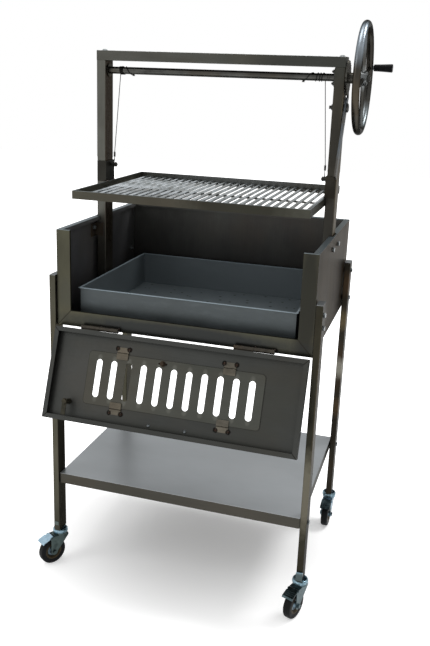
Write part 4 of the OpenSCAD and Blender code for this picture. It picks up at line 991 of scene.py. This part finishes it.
@dataclass
class SteelWork:
    """Finishes of the CAD nodes of stand, firebox, gantry, grate, pan and door."""

    nodes: dict[str, bpy.types.Object]
    door: DoorPlane = field(default_factory=DoorPlane)
    frame_y: float = -0.3075
    wall_x: float = 0.397
    stile_x: float = 0.356
    vent_corner: float = 0.012
    pan_lip: float = 0.0053

    def build(self) -> None:
        """Dress every node that keeps its CAD shape."""
        self.stand()
        self.firebox()
        self.pan()
        self.gantry()
        self.lift_drive()
        self.grate()
        self.door_tray()
        self.door_fittings()
        self.small_parts()

    def put(self, finish: Finish, *names: str) -> None:
        """Give CAD nodes one finish.

        Args:
            finish: the finish.
            names: the nodes.
        """
        for name in names:
            piece = self.nodes[name]
            piece.data.materials.clear()
            piece.data.materials.append(finish.material())
            LOG.info("dressed %s as %s", name, finish.name)

    def stand(self) -> None:
        """Legs and shelf."""
        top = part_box("leg_front_left")[1][2] - 0.0006
        # The legs are one tube; these finishes are lit and shaded copies of its colour. The left legs get the
        # lit copy: its first patch is painted shade on the inner side face, and the second darkens the front
        # face low down.
        left = BrushedSteel(
            "brushed_leg_tube_lit_copy_left",
            dark="38372d",
            light="49473e",
            tint="433c2d",
            edge="94989a",
            patches=14.0,
            painted_sheen_above=top,
            stains_and_painted_light=(
                StainAndPaintedLight((-0.402, -0.293, 0.55), (0.003, 0.05, 0.6), "38352c", 0.8, 0.3),
                StainAndPaintedLight((-0.412, -0.318, 0.15), (0.03, 0.01, 0.09), "36352f", 0.5),
            ),
        )
        self.put(left, "leg_front_left", "leg_rear_left")
        # Shaded copy for the front-right leg; its patches paint the outer side face lighter and put a painted
        # highlight on the front face.
        front = BrushedSteel(
            "brushed_leg_tube_shaded_copy_front_right",
            dark="201f19",
            light="2e2d25",
            tint="2b251b",
            edge="94989a",
            patches=14.0,
            tint_share=0.6,
            painted_sheen_above=top,
            stains_and_painted_light=(
                StainAndPaintedLight((0.422, -0.293, 0.7), (0.004, 0.05, 0.4), "4a4234", 0.6),
                StainAndPaintedLight((0.412, -0.318, 0.42), (0.03, 0.01, 0.16), "6b675b", 0.5),
            ),
        )
        self.put(front, "leg_front_right")
        # Shaded copy for the rear-right leg, with bands of other colours up the leg.
        rear = BrushedSteel(
            "brushed_leg_tube_shaded_copy_rear_right",
            dark="23221c",
            light="322e28",
            tint="382a1c",
            edge="94989a",
            patches=12.0,
            tint_share=0.8,
            painted_sheen_above=top,
            stains_and_painted_light=(
                StainAndPaintedLight((0.412, 0.27, 0.93), (0.03, 0.05, 0.06), "4f3f2f", 0.7),
                StainAndPaintedLight((0.412, 0.27, 0.8), (0.03, 0.05, 0.05), "6d6148", 0.5),
                StainAndPaintedLight((0.412, 0.27, 0.62), (0.03, 0.05, 0.05), "8b8a80", 0.6),
                StainAndPaintedLight((0.412, 0.27, 0.47), (0.03, 0.05, 0.05), "5b4a35", 0.5),
            ),
        )
        self.put(rear, "leg_rear_right")
        shelf = BrushedSteel(
            "satin_shelf_sheet",
            dark="34332e",
            light="403e39",
            tint="3c372e",
            edge="a9adb0",
            grain=Grain.X,
            rough=0.34,
            metallic=0.8,
            patches=4.0,
            tint_share=0.3,
            # The top face takes the painted sheen, and the two lighter patches on it are painted reflections.
            painted_sheen_above=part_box("shelf")[1][2] - 0.0006,
            stains_and_painted_light=(
                StainAndPaintedLight((0.1, -0.05, 0.333), (0.25, 0.12, 0.01), "b4afa8", 0.4),
                StainAndPaintedLight((-0.2, 0.1, 0.333), (0.15, 0.12, 0.01), "aeb2b4", 0.4),
            ),
        )
        self.put(shelf, "shelf")

    def firebox(self) -> None:
        """Walls, floor and front frame."""
        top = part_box("firebox_left_wall")[1][2] - 0.0006
        # The right wall shows the wall sheet's painted reflection on its outer face.
        wall = WallSheetWithPaintedReflection(
            "film_bright_side_wall",
            dark="3a3a3a",
            light="4c4c4c",
            tint="483f37",
            edge="7d878c",
            flat_angle="685f4e",
            rough=0.34,
            patches=6.0,
            painted_sheen_above=top,
        )
        self.put(wall, "firebox_right_wall")
        # Lit copy of the wall sheet for the left wall: lighter tones and lighter soot than the right and back
        # walls.
        left = WallSheetWithPaintedReflection(
            "sooted_left_wall_sheet_lit_copy",
            dark="676769",
            light="7c7c7c",
            tint="69625a",
            edge="7d878c",
            soot="505054",
            rough=0.4,
            patches=6.0,
            painted_sheen_above=top,
            flat_angle="a8a8a6",
        )
        self.put(left, "firebox_left_wall")
        back = WallSheetWithPaintedReflection(
            "sooted_back_wall_sheet",
            dark="3b3b3a",
            light="4e4e4b",
            tint="46403a",
            edge="7d878c",
            rough=0.42,
            patches=5.0,
            painted_sheen_above=top,
            soot_high=1.14,
        )
        self.put(back, "firebox_back_wall", "firebox_floor")
        frame = BrushedSteel(
            "brushed_front_frame",
            dark="3d3c32",
            light="4b4a3d",
            tint="443c30",
            edge="7d878c",
            grain=Grain.Z,
            patches=8.0,
            painted_sheen_above=top,
            stains_and_painted_light=(
                StainAndPaintedLight((self.stile_x + 0.02, self.frame_y, 1.0), (0.045, 0.02, 0.3), "232320", 0.85, 0.2),
                StainAndPaintedLight((0.0, self.frame_y, 0.868), (0.5, 0.02, 0.036), "26282a", 0.85, 0.3),
                StainAndPaintedLight((-0.37, self.frame_y, 0.95), (0.03, 0.02, 0.06), "3c3c36", 0.5),
            ),
            seams=tuple(
                Seam((sign * 0.4, self.frame_y, 0.846), (sign * self.stile_x, self.frame_y, 0.894), 0.001)
                for sign in (-1, 1)
            ),
            scorches=tuple(
                Scorch((x, self.frame_y, 0.853), 0.011) for x in (-0.252, -0.192, 0.234, 0.292)
            ),
        )
        self.put(frame, "front_frame")

    def pan(self) -> None:
        """Loose charcoal pan."""
        low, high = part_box("charcoal_pan")
        middle = tuple((a + b) / 2 for a, b in zip(low, high))
        pan = MillScaleSheet(
            "mill_scale_pan_sheet",
            lip_above=high[2] - 0.0016,
            floor_below=low[2] + 0.0035,
            middle=(middle[0], middle[1], middle[2]),
            half=((high[0] - low[0]) / 2 - self.pan_lip, (high[1] - low[1]) / 2 - self.pan_lip),
        )
        self.put(pan, "charcoal_pan")

    def gantry(self) -> None:
        """Uprights, crossbar, brackets and hinges."""
        inner = abs(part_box("upright_left")[1][0])
        # The uprights are one tube; these two finishes are lit and shaded copies of its colour. On the lit
        # left copy the first patch is painted shade on the inner side face.
        left = BrushedSteel(
            "brushed_upright_lit_copy_left",
            dark="484843",
            light="5a5a55",
            tint="534b3f",
            patches=10.0,
            stains_and_painted_light=(
                StainAndPaintedLight((-inner, -0.0025, 1.35), (0.003, 0.06, 0.6), "352c22", 0.85, 0.2),
                StainAndPaintedLight((-inner - 0.015, -0.0325, 1.0), (0.03, 0.01, 0.12), "33322e", 0.6),
            ),
        )
        self.put(left, "upright_left")
        # Shaded copy of the upright tube's colour for the right upright.
        right = BrushedSteel(
            "brushed_upright_shaded_copy_right",
            dark="32322e",
            light="3e3e39",
            tint="3f372c",
            patches=10.0,
            stains_and_painted_light=(
                StainAndPaintedLight((0.392, -0.0025, 1.4), (0.003, 0.06, 0.6), "5f5644", 0.8, 0.3),
                StainAndPaintedLight((0.377, -0.0325, 1.42), (0.03, 0.01, 0.13), "2a2926", 0.6),
                StainAndPaintedLight((0.377, -0.0325, 1.2), (0.03, 0.01, 0.1), "2d2b28", 0.6),
            ),
        )
        self.put(right, "upright_right")
        crossbar = BrushedSteel(
            "brushed_crossbar_tube",
            dark="42433f",
            light="4f504c",
            tint="4a463d",
            grain=Grain.X,
            patches=8.0,
            painted_sheen_above=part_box("crossbar")[1][2] - 0.0006,
            edge="a3a6a6",
            stains_and_painted_light=(StainAndPaintedLight((0.3, -0.0325, 1.642), (0.22, 0.01, 0.08), "2d2e2b", 0.6, 0.2),),
        )
        self.put(crossbar, "crossbar")
        bracket = BrushedSteel(
            "dark_bracket_bar",
            dark="2e2b27",
            light="45413a",
            tint="4a3828",
            rough=0.5,
            metallic=0.7,
            patches=40.0,
            tint_share=0.6,
        )
        self.put(bracket, "upright_brackets", "hinge_frame_halves", "hinge_door_halves")

    def lift_drive(self) -> None:
        """Shaft, bearings, ratchet, pawl and handwheel."""
        shaft = PolishedBar(
            "turned_shaft_bar", dark="343432", light="4c4c49", warm="3d3932", grain=Grain.X, rough=0.34
        )
        self.put(shaft, "lift_shaft", "drive_stub", "shaft_bush_left", "shaft_bearing")
        ratchet = PolishedBar("cut_ratchet_plate", dark="292826", light="45443f", warm="3d3226", rough=0.4)
        self.put(ratchet, "ratchet_wheel")
        lever = PolishedBar("flat_pawl_bar", dark="4a4f54", light="5f666c", warm="4c4438", rough=0.35)
        self.put(lever, "pawl")
        wheel_x, centre_y, centre_z = 0.44, -0.0025, 1.613
        rim = PolishedBar(
            "polished_wheel_rim",
            dark="32312e",
            light="444340",
            warm="37332c",
            rough=0.3,
            flat_angle="7a7a77",
            # Painted reflections on the rim: light on the upper near arc and the lower far arc, dark on the
            # lower near arc and the upper far arc; the last patch lightens the hub.
            stains_and_painted_light=(
                StainAndPaintedLight((wheel_x, centre_y - 0.1, centre_z + 0.1), (0.1, 0.09, 0.1), "8a939b", 0.8, 0.2),
                StainAndPaintedLight((wheel_x, centre_y - 0.13, centre_z - 0.03), (0.1, 0.05, 0.09), "3f382d", 0.7),
                StainAndPaintedLight((wheel_x, centre_y + 0.12, centre_z + 0.06), (0.1, 0.06, 0.1), "26231f", 0.7),
                StainAndPaintedLight((wheel_x, centre_y + 0.08, centre_z - 0.11), (0.1, 0.08, 0.06), "7b8387", 0.6, 0.2),
                StainAndPaintedLight((wheel_x, centre_y, centre_z), (0.1, 0.04, 0.04), "85898a", 0.6),
            ),
        )
        self.put(rim, "handwheel")
        self.crank_grip()

    def crank_grip(self) -> None:
        """Flared plastic grip on the crank spindle, with a rounded end and a rim."""
        low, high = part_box("handle_grip")
        centre = Vector((low[0], (low[1] + high[1]) / 2, (low[2] + high[2]) / 2))
        length = (high[0] - low[0]) / MM
        near, far, bore = 10.2, 12.4, 5.06
        outline = [(0.0, bore), (0.0, near - 1.6), (0.5, near - 0.5), (1.6, near)]
        outline += [(0.35 * length, near + 0.5), (length - 4.0, far)]
        outline += [(length - 2.0, far), (length - 0.7, far - 0.7), (length, far - 2.2)]
        outline += [(length, 9.2), (length - 2.6, 8.8), (length - 2.9, bore)]
        bm = bmesh.new()
        spun(bm, [(a * MM, b * MM) for a, b in outline], centre, Vector((1.0, 0.0, 0.0)), 64)
        finish = MouldedPart("moulded_grip_plastic", base="08080a", dust="101012", rough=0.42, gloss=0.08)
        grip = finished("crank_grip", bm, finish)
        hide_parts("handle_grip")
        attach(grip, "grip")
        LOG.info("crank grip")

    def grate(self) -> None:
        """Grate frame, rods, flats and carriages."""
        low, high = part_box("grate_frame")
        frame = BrushedSteel(
            "brushed_grate_bar",
            dark="393933",
            light="4a4a42",
            tint="423b31",
            edge="82888a",
            grain=Grain.X,
            patches=8.0,
            painted_sheen_above=high[2] - 0.0005,
            stains_and_painted_light=(
                StainAndPaintedLight((0.15, low[1], (low[2] + high[2]) / 2), (0.2, 0.01, 0.05), "26251f", 0.75),
                StainAndPaintedLight((0.0, high[1], high[2]), (0.5, 0.01, 0.05), "5f6263", 0.7),
            ),
        )
        self.put(frame, "grate_frame", "grate_flats")
        rods = PolishedBar(
            "polished_grate_rod",
            dark="959b9d",
            light="d6dce1",
            warm="7c7870",
            rough=0.16,
            warm_share=0.4,
        )
        self.put(rods, "grate_rods")
        carriage = BrushedSteel(
            "brushed_carriage_plate",
            dark="242320",
            light="32312d",
            tint="332a1e",
            patches=22.0,
            scorches=tuple(
                Scorch((sign * 0.36, y, 1.263), 0.012) for sign in (-1, 1) for y in (-0.028, 0.022)
            ),
        )
        self.put(carriage, "carriage_left", "carriage_right")

    def clip_marks(self) -> tuple[Scorch, ...]:
        """Burnt places at the outer, welded ends of the four clips."""
        return tuple(
            Scorch(self.door.at(sx * 168 + dx, -9, up), 0.0115)
            for sx in (-1, 1)
            for dx in (-19, 19)
            for up in (51.0, 246.0)
        )

    def way_up(self) -> Point:
        """Direction from the hinge to the free edge of the hanging door."""
        way = (Vector(self.door.at(0, 0, 1000)) - Vector(self.door.at(0, 0, 0))).normalized()
        return way.x, way.y, way.z

    def door_tray(self) -> None:
        """Door tray and vent plate, with the burnt places round the welded pieces."""
        at = self.door.at
        marks = (
            Scorch(at(-322, -9, 231.5), 0.012),
            Scorch(at(-57, -9, 265.5), 0.006),
            Scorch(at(57, -9, 265.5), 0.006),
        )
        sides = tuple(
            StainAndPaintedLight(at(sx * 250, -9, 150), (0.17, 0.25, 0.12), code, 0.5)
            for sx, code in ((-1, "4a4a48"), (1, "3f3f3a"))
        )
        tray = BrushedSteel(
            "brushed_door_sheet",
            dark="393a38",
            light="434442",
            tint="413e37",
            grain=Grain.X,
            rough=0.42,
            patches=4.5,
            lines=0.07,
            scorches=self.clip_marks() + marks,
            stains_and_painted_light=sides + (StainAndPaintedLight(at(0, -9, 285), (0.4, 0.02, 0.03), "353632", 0.5),),
            seams=tuple(
                Seam(at(sx * 396, 10, up), at(sx * 382, 10, inner), 0.0009)
                for sx in (-1, 1)
                for up, inner in ((9.6, 23.6), (289.6, 275.6))
            ),
        )
        self.put(tray, "door_shell")
        low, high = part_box("vent_slider")
        corners = Outline(
            middle=at((low[0] + high[0]) / 2 / MM, 0, 148.5),
            along=(1.0, 0.0, 0.0),
            up=self.way_up(),
            half_l=(high[0] - low[0]) / 2,
            half_h=0.0815,
            corner=self.vent_corner,
        )
        vent = BrushedSteel(
            "brushed_vent_plate",
            dark="40413c",
            light="4c4d48",
            tint="47423a",
            grain=Grain.X,
            rough=0.4,
            patches=6.0,
            lines=0.07,
            outline=corners,
            stains_and_painted_light=tuple(
                StainAndPaintedLight(at(48 * i, -8, up), (0.009, 0.012, 0.012), "62625c", 0.5)
                for i in range(-5, 6)
                for up in (86.0, 211.0)
            ),
            scorches=(Scorch(at(-49, -9, 79.0), 0.005), Scorch(at(-27, -9, 79.0), 0.005)),
        )
        self.put(vent, "vent_slider")

    def door_fittings(self) -> None:
        """Clips, knob and latch."""
        clip = BrushedSteel(
            "burnt_clip_strip",
            dark="4a4740",
            light="6a655b",
            tint="554b3c",
            grain=Grain.X,
            patches=30.0,
            scorches=self.clip_marks(),
        )
        self.put(clip, "vent_clips")
        centre = self.door.at(-38, -20, 78.5)
        knob = BrushedSteel(
            "turned_vent_knob",
            dark="24201b",
            light="3a332a",
            tint="4a3524",
            rough=0.5,
            metallic=0.6,
            patches=60.0,
            stains_and_painted_light=(StainAndPaintedLight(centre, (0.006, 0.006, 0.006), "8a6f4e", 0.9, 0.2),),
        )
        self.put(knob, "vent_knob")
        latch = BrushedSteel(
            "dark_latch_bar",
            dark="292823",
            light="3f3d33",
            tint="4a4233",
            grain=Grain.X,
            rough=0.45,
            metallic=0.7,
            patches=50.0,
        )
        self.put(latch, "door_latch")

    def small_parts(self) -> None:
        """Plated bolts, nuts, screws and fittings."""
        bolts = PlatedZinc(
            "zinc_plated_bolt", dark="4a4d4e", light="868c8e", deep="22221f", rough=0.34, size=110.0
        )
        self.put(
            bolts,
            "frame_bolts",
            "frame_nuts",
            "handle_spindle",
            "door_handle",
        )
        fittings = PlatedZinc(
            "weathered_cable_fitting", dark="262523", light="4a4945", deep="161514", rough=0.42, size=110.0
        )
        self.put(fittings, "cable_fittings", "bearing_screws", "pawl_bolt", "shaft_screws")


@dataclass
class LiftCables:
    """Stranded cable: the turns on the shaft and the two free runs."""

    cable_d: float = 2.0
    rope_d: float = 2.4
    lay: float = 15.0
    strands: int = 6
    shaft_y: float = -2.5
    shaft_z: float = 1613.0
    wind_r: float = 12.05
    post_d: float = 6.0
    eye_x: float = 348.0
    step: float = 1.3
    turns: dict[int, tuple[tuple[float, float], ...]] = field(
        default_factory=lambda: {
            1: ((270, 268), (90, 294), (-180, 307), (-540, 316), (-900, 322.5), (-1060, 329), (-1080, 329)),
            -1: (
                (270, 282),
                (90, 303),
                (-180, 312),
                (-540, 315),
                (-900, 318),
                (-1260, 321),
                (-1420, 327),
                (-1440, 327),
            ),
        }
    )

    def build(self) -> None:
        """Make both windings and both free runs."""
        cable = PolishedBar(
            "stranded_steel_cable", dark="141414", light="2c2c2a", warm="221f1b", rough=0.5
        )
        for sign, side in ((-1, "left"), (1, "right")):
            path, normals = self.winding(sign)
            wound = self.rope(f"wound_cable_{side}", path, normals, cable)
            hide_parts(f"cable_winding_{side}")
            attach(wound, "drum")
            top = Vector((sign * self.turns[sign][-1][1], self.hang_y, self.shaft_z - self.cable_d))
            low = Vector((sign * self.eye_x, self.hang_y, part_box(f"lift_cable_{side}")[0][2] / MM))
            count = int((top - low).length / self.step)
            path = [top.lerp(low, i / count) for i in range(count + 1)]
            free = self.rope(f"hanging_cable_{side}", path, [Vector((0, 1, 0))] * len(path), cable)
            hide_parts(f"lift_cable_{side}")
            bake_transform(free)
            LOG.info("cables on the %s", side)

    @property
    def hang_y(self) -> float:
        """Place of the hanging cable behind the middle, in millimetres."""
        return self.shaft_y + self.wind_r

    def along(self, sign: int, angle: float) -> float:
        """Place along the shaft at an angle, in millimetres."""
        table = self.turns[sign]
        for (a0, x0), (a1, x1) in zip(table, table[1:]):
            if a0 >= angle >= a1:
                return x0 + (x1 - x0) * (a0 - angle) / (a0 - a1)
        return table[-1][1]

    def wound(self, sign: int, angle: float) -> Vector:
        """Point of the winding at an angle, in millimetres."""
        turn = math.radians(angle)
        return Vector(
            (
                sign * self.along(sign, angle),
                self.shaft_y + self.wind_r * math.cos(turn),
                self.shaft_z + self.wind_r * math.sin(turn),
            )
        )

    def winding(self, sign: int) -> tuple[list[Vector], list[Vector]]:
        """Path of one winding and the way out from the shaft at each point.

        Args:
            sign: -1 on the left, 1 on the right.

        Returns:
            The points and the outward directions.
        """
        last = self.turns[sign][-1][0]
        count = int((270 - last) / 5)
        angles = [270 + (last - 270) * i / count for i in range(count + 1)]
        path = [self.wound(sign, a) for a in angles]
        way = path[0] - path[1]
        way.z = 0.0
        way.normalize()
        path.insert(0, path[0] + self.cable_d * way)
        path.append(path[-1] - Vector((0.0, 0.0, self.cable_d)))
        outs = [Vector((0.0, math.cos(math.radians(a)), math.sin(math.radians(a)))) for a in angles]
        return path, [outs[0]] + outs + [outs[-1]]

    def rope(
        self, name: str, path: Sequence[Vector], normals: Sequence[Vector], finish: Finish
    ) -> bpy.types.Object:
        """Twist strands round a core along a path.

        Args:
            name: the piece's name.
            path: points in millimetres.
            normals: a reference direction at each point.
            finish: the cable's finish.

        Returns:
            The new object, in metres.
        """
        strand_r = self.rope_d / 6
        lines: list[list[Vector]] = [[p * MM for p in path]]
        for k in range(self.strands):
            lines.append([])
        run = 0.0
        for i, point in enumerate(path):
            ahead = path[min(i + 1, len(path) - 1)] - path[max(i - 1, 0)]
            side = ahead.cross(normals[i]).normalized()
            out = side.cross(ahead).normalized()
            if i:
                run += (point - path[i - 1]).length
            for k in range(self.strands):
                turn = math.tau * (k / self.strands + run / self.lay)
                offset = 2 * strand_r * (math.cos(turn) * out + math.sin(turn) * side)
                lines[k + 1].append((point + offset) * MM)
        bm = bmesh.new()
        tube_along(bm, lines, strand_r * MM, 6)
        return finished(name, bm, finish, smooth=80.0)


@dataclass
class CasterWheels:
    """Tyres, hubs, pedal ribs and plating of the four casters."""

    nodes: dict[str, bpy.types.Object]
    joints: Sequence[dict[str, Any]]
    tyre_r: float = 45.0
    tyre_half: float = 12.0
    hub_r: float = 29.0
    cover_r: float = 19.0
    bore_r: float = 4.2
    boss_half: float = 15.0
    steps: int = 72
    rib_r: float = 0.9
    rib_half: float = 16.5
    rib_places: tuple[float, ...] = (15.0, 21.0, 27.0)
    pedal_slope: float = 0.37

    def build(self) -> None:
        """Dress each caster and make its tyre, hub, cover and ribs."""
        rubber = MouldedPart(
            "moulded_tyre_rubber", base="0a0c0e", dust="161614", rough=0.5, gloss=0.12, dust_share=0.5
        )
        tan = MouldedPart(
            "moulded_tan_hub", base="3a301b", dust="1a1712", rough=0.5, gloss=0.2, dust_share=0.7
        )
        cover = PlatedZinc("pressed_bearing_cover", dark="2c343a", light="6b7f8b", rough=0.35, size=60.0)
        # The forks share one plating; these per-corner tones are lit and shaded copies of it.
        plates = {
            "front_left": ("3d4847", "566462"),
            "front_right": ("3b484b", "53656a"),
            "rear_left": ("36454d", "6d8694"),
            "rear_right": ("36454d", "7d98a8"),
        }
        plate_y = -0.317
        bright = PlatedZinc(
            "zinc_plated_swivel_ring",
            dark="4b5e66",
            light="8aa6b4",
            deep="2d393d",
            rough=0.26,
            size=42.0,
            # Painted light on the mount rings: painted shade on the front faces and a painted highlight along
            # the top edge of the front-right ring.
            stains_and_painted_light=(
                StainAndPaintedLight((0.412, plate_y - 0.006, 0.137), (0.05, 0.006, 0.026), "434d4e", 1.0, 0.0),
                StainAndPaintedLight((0.412, plate_y - 0.003, 0.158), (0.05, 0.009, 0.004), "93aebd", 0.9, 0.0),
                StainAndPaintedLight((-0.412, plate_y - 0.003, 0.148), (0.05, 0.006, 0.02), "4c5450", 1.0, 0.0),
            ),
        )
        self.plate(bright, "caster_mounts")
        places = {j["name"]: (Vector(j["pos_m"]), Vector(j["axis"])) for j in self.joints if "pos_m" in j}
        for corner, (dark, light) in plates.items():
            fork = PlatedZinc(f"zinc_plated_fork_{corner}", dark=dark, light=light, deep="2c3636", rough=0.32, size=16.0)
            self.plate(fork, f"caster_fork_{corner}")
            # The front-left pedal gets a lit copy of the plating, the other pedals a shaded copy.
            step = ("90abbc", "aac4d4") if corner == "front_left" else ("2a3538", "475559")
            pedal = PlatedZinc(f"zinc_plated_pedal_{corner}", *step, deep=step[0], rough=0.28, size=50.0)
            self.plate(pedal, f"brake_pedal_{corner}")
            centre, axis = places[f"roll_{corner}"]
            made = (
                self.tyre(f"tyre_{corner}", centre, axis, rubber),
                self.hub(f"hub_{corner}", centre, axis, tan),
                self.cover(f"hub_cover_{corner}", centre, axis, cover),
            )
            for piece in made:
                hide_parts(f"caster_wheel_{corner}")
                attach(piece, f"wheel_{corner}")
            pivot, _ = places[f"pedal_tip_{corner}"]
            swivel, _ = places[f"swivel_{corner}"]
            out = pivot - swivel
            out.z = 0.0
            ribs = self.ribs(f"pedal_ribs_{corner}", pivot, out.normalized(), axis, pedal)
            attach(ribs, f"pedal_{corner}")
            LOG.info("caster %s", corner)

    def plate(self, finish: Finish, name: str) -> None:
        """Give one CAD node its plating."""
        piece = self.nodes[name]
        piece.data.materials.clear()
        piece.data.materials.append(finish.material())
        LOG.info("dressed %s as %s", name, finish.name)

    def ribs(self, name: str, pivot: Vector, out: Vector, across: Vector, finish: Finish) -> Any:
        """Pressed ribs across the step of a brake pedal.

        Args:
            name: the piece's name.
            pivot: the pedal's pivot.
            out: level way from the swivel axis to the pedal.
            across: the pivot's axis.
            finish: the pedal's plating.

        Returns:
            The new object.
        """
        paths = []
        for place in self.rib_places:
            height = 2.0 - (place - 11.0) * self.pedal_slope
            middle = pivot + (out * place + Vector((0.0, 0.0, height))) * MM
            reach = across.normalized() * self.rib_half * MM
            paths.append([middle - reach, middle - reach * 0.9, middle + reach * 0.9, middle + reach])
        bm = bmesh.new()
        r = self.rib_r * MM
        tube_along(bm, paths, [r * 0.3, r, r, r * 0.3], 8)
        return finished(name, bm, finish, smooth=60.0)

    def tyre(self, name: str, centre: Vector, axis: Vector, finish: Finish) -> Any:
        """Tyre with round shoulders and two fine grooves.

        Args:
            name: the piece's name.
            centre: middle of the wheel.
            axis: the axle.
            finish: rubber.

        Returns:
            The new object.
        """
        h, r, inner = self.tyre_half, self.tyre_r, self.hub_r
        shoulder = 5.0
        outline = [(-h + 1, inner), (-h, inner + 2)]
        for i in range(5):
            turn = math.radians(90 * i / 4)
            outline.append(
                (-h + shoulder * (1 - math.cos(turn)), r - shoulder * (1 - math.sin(turn)))
            )
        for groove in (-3.4, 3.4):
            outline += [(groove - 0.5, r), (groove, r - 0.7), (groove + 0.5, r)]
        for i in range(5):
            turn = math.radians(90 * (4 - i) / 4)
            outline.append(
                (h - shoulder * (1 - math.cos(turn)), r - shoulder * (1 - math.sin(turn)))
            )
        outline += [(h, inner + 2), (h - 1, inner)]
        bm = bmesh.new()
        spun(bm, [(a * MM, b * MM) for a, b in outline], centre, axis, self.steps)
        return finished(name, bm, finish)

    def hub(self, name: str, centre: Vector, axis: Vector, finish: Finish) -> Any:
        """Moulded ring that carries the tyre, with a step down to the web.

        Args:
            name: the piece's name.
            centre: middle of the wheel.
            axis: the axle.
            finish: moulded plastic.

        Returns:
            The new object.
        """
        h, r, inner = self.tyre_half, self.hub_r, self.cover_r
        half = [(4.0, inner), (5.2, inner + 0.6), (h - 2.2, r - 5.4), (h - 1.0, r - 4.2), (h - 1.0, r - 0.05)]
        outline = [(-a, b) for a, b in half] + [(a, b) for a, b in reversed(half)]
        bm = bmesh.new()
        spun(bm, [(a * MM, b * MM) for a, b in outline], centre, axis, self.steps)
        return finished(name, bm, finish)

    def cover(self, name: str, centre: Vector, axis: Vector, finish: Finish) -> Any:
        """Pressed cover over the bearing, with a raised middle round the axle.

        Args:
            name: the piece's name.
            centre: middle of the wheel.
            axis: the axle.
            finish: plated steel.

        Returns:
            The new object.
        """
        bore, boss, rim = self.bore_r, self.boss_half, self.cover_r
        half = [(boss, bore), (boss, 8.0), (boss - 1.2, 9.6), (8.0, 11.0), (6.4, 12.5), (6.0, rim - 1.0)]
        half += [(5.4, rim - 0.05)]
        outline = [(-a, b) for a, b in half] + [(a, b) for a, b in reversed(half)]
        bm = bmesh.new()
        spun(bm, [(a * MM, b * MM) for a, b in outline], centre, axis, self.steps)
        return finished(name, bm, finish)


@dataclass(frozen=True)
class Bead:
    """One weld bead: two ends, a radius and the body that carries it, in metres."""

    start: Point
    end: Point
    radius: float
    body: str


@dataclass
class Welds:
    """Weld beads at brackets, clips, hinges, carriages and grate corners."""

    door: DoorPlane = field(default_factory=DoorPlane)

    def beads(self) -> dict[str, list[Bead]]:
        """Every bead, grouped into one piece for each body."""
        stand: list[Bead] = []
        for sign in (-1, 1):
            for y in (-0.0325, 0.0275):
                side = -1 if y < 0 else 1
                out = y + side * 0.0032
                x0, x1 = sign * 0.368, sign * 0.391
                stand.append(Bead((x0, out, 1.0805), (x0, out, 1.1235), 0.0018, "stand"))
                stand.append(Bead((x0, out, 1.124), (x1, out, 1.124), 0.0017, "stand"))
        for x in (-0.251, -0.193, 0.234, 0.292):
            stand.append(Bead((x, -0.3078, 0.8565), (x, -0.3115, 0.8562), 0.0024, "stand"))
        lift: list[Bead] = []
        for sign in (-1, 1):
            for y in (-0.036, 0.031):
                end = y + (0.018 if y < 0 else -0.018)
                lift.append(
                    Bead((sign * 0.3575, y, 1.2625), (sign * 0.3575, end, 1.2625), 0.0022, "lift")
                )
        at = self.door.at
        door: list[Bead] = []
        for sx in (-1, 1):
            for low, high in ((46.0, 57.0), (240.0, 251.0)):
                for dx in (-18.5, 18.5):
                    x = sx * 168 + dx
                    door.append(Bead(at(x, -9.2, low), at(x, -9.2, high), 0.002, "door"))
        for x in (-311.0, -256.0, 174.0, 229.0):
            door.append(Bead(at(x, 3.8, 9.0), at(x + 3, 3.8, 9.2), 0.0026, "door"))
        return {"weld_beads_stand": stand, "weld_beads_lift": lift, "weld_beads_door": door}

    def build(self) -> None:
        """Make one piece of beads for each body."""
        finish = WeldMetal("weld_bead_scale")
        rng = random.Random(7)
        for name, beads in self.beads().items():
            bm = bmesh.new()
            for bead in beads:
                start, end = Vector(bead.start), Vector(bead.end)
                count = max(3, int((end - start).length / (bead.radius * 0.45)))
                path = [start.lerp(end, i / count) for i in range(count + 1)]
                radii = []
                for i in range(count + 1):
                    fade = min(1.0, 0.55 + min(i, count - i) * 0.45)
                    radii.append(bead.radius * fade * (0.85 + 0.3 * rng.random()))
                tube_along(bm, [path], radii, 10)
            piece = finished(name, bm, finish, smooth=80.0)
            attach(piece, beads[0].body)
            LOG.info("%s: %d beads", name, len(beads))


def main() -> None:
    """Build the camera, the studio and every piece of the grill."""
    logging.basicConfig(level=logging.INFO, format="%(name)s: %(message)s")
    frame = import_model()
    scene = bpy.context.scene
    scene.view_settings.view_transform = "Standard"
    PhotoCamera().build()
    Studio().build()
    SteelWork(frame["nodes"]).build()
    LiftCables().build()
    CasterWheels(frame["nodes"], frame["record"]["behaviour"]["joints"]).build()
    Welds().build()


if __name__ == "__main__":
    main()
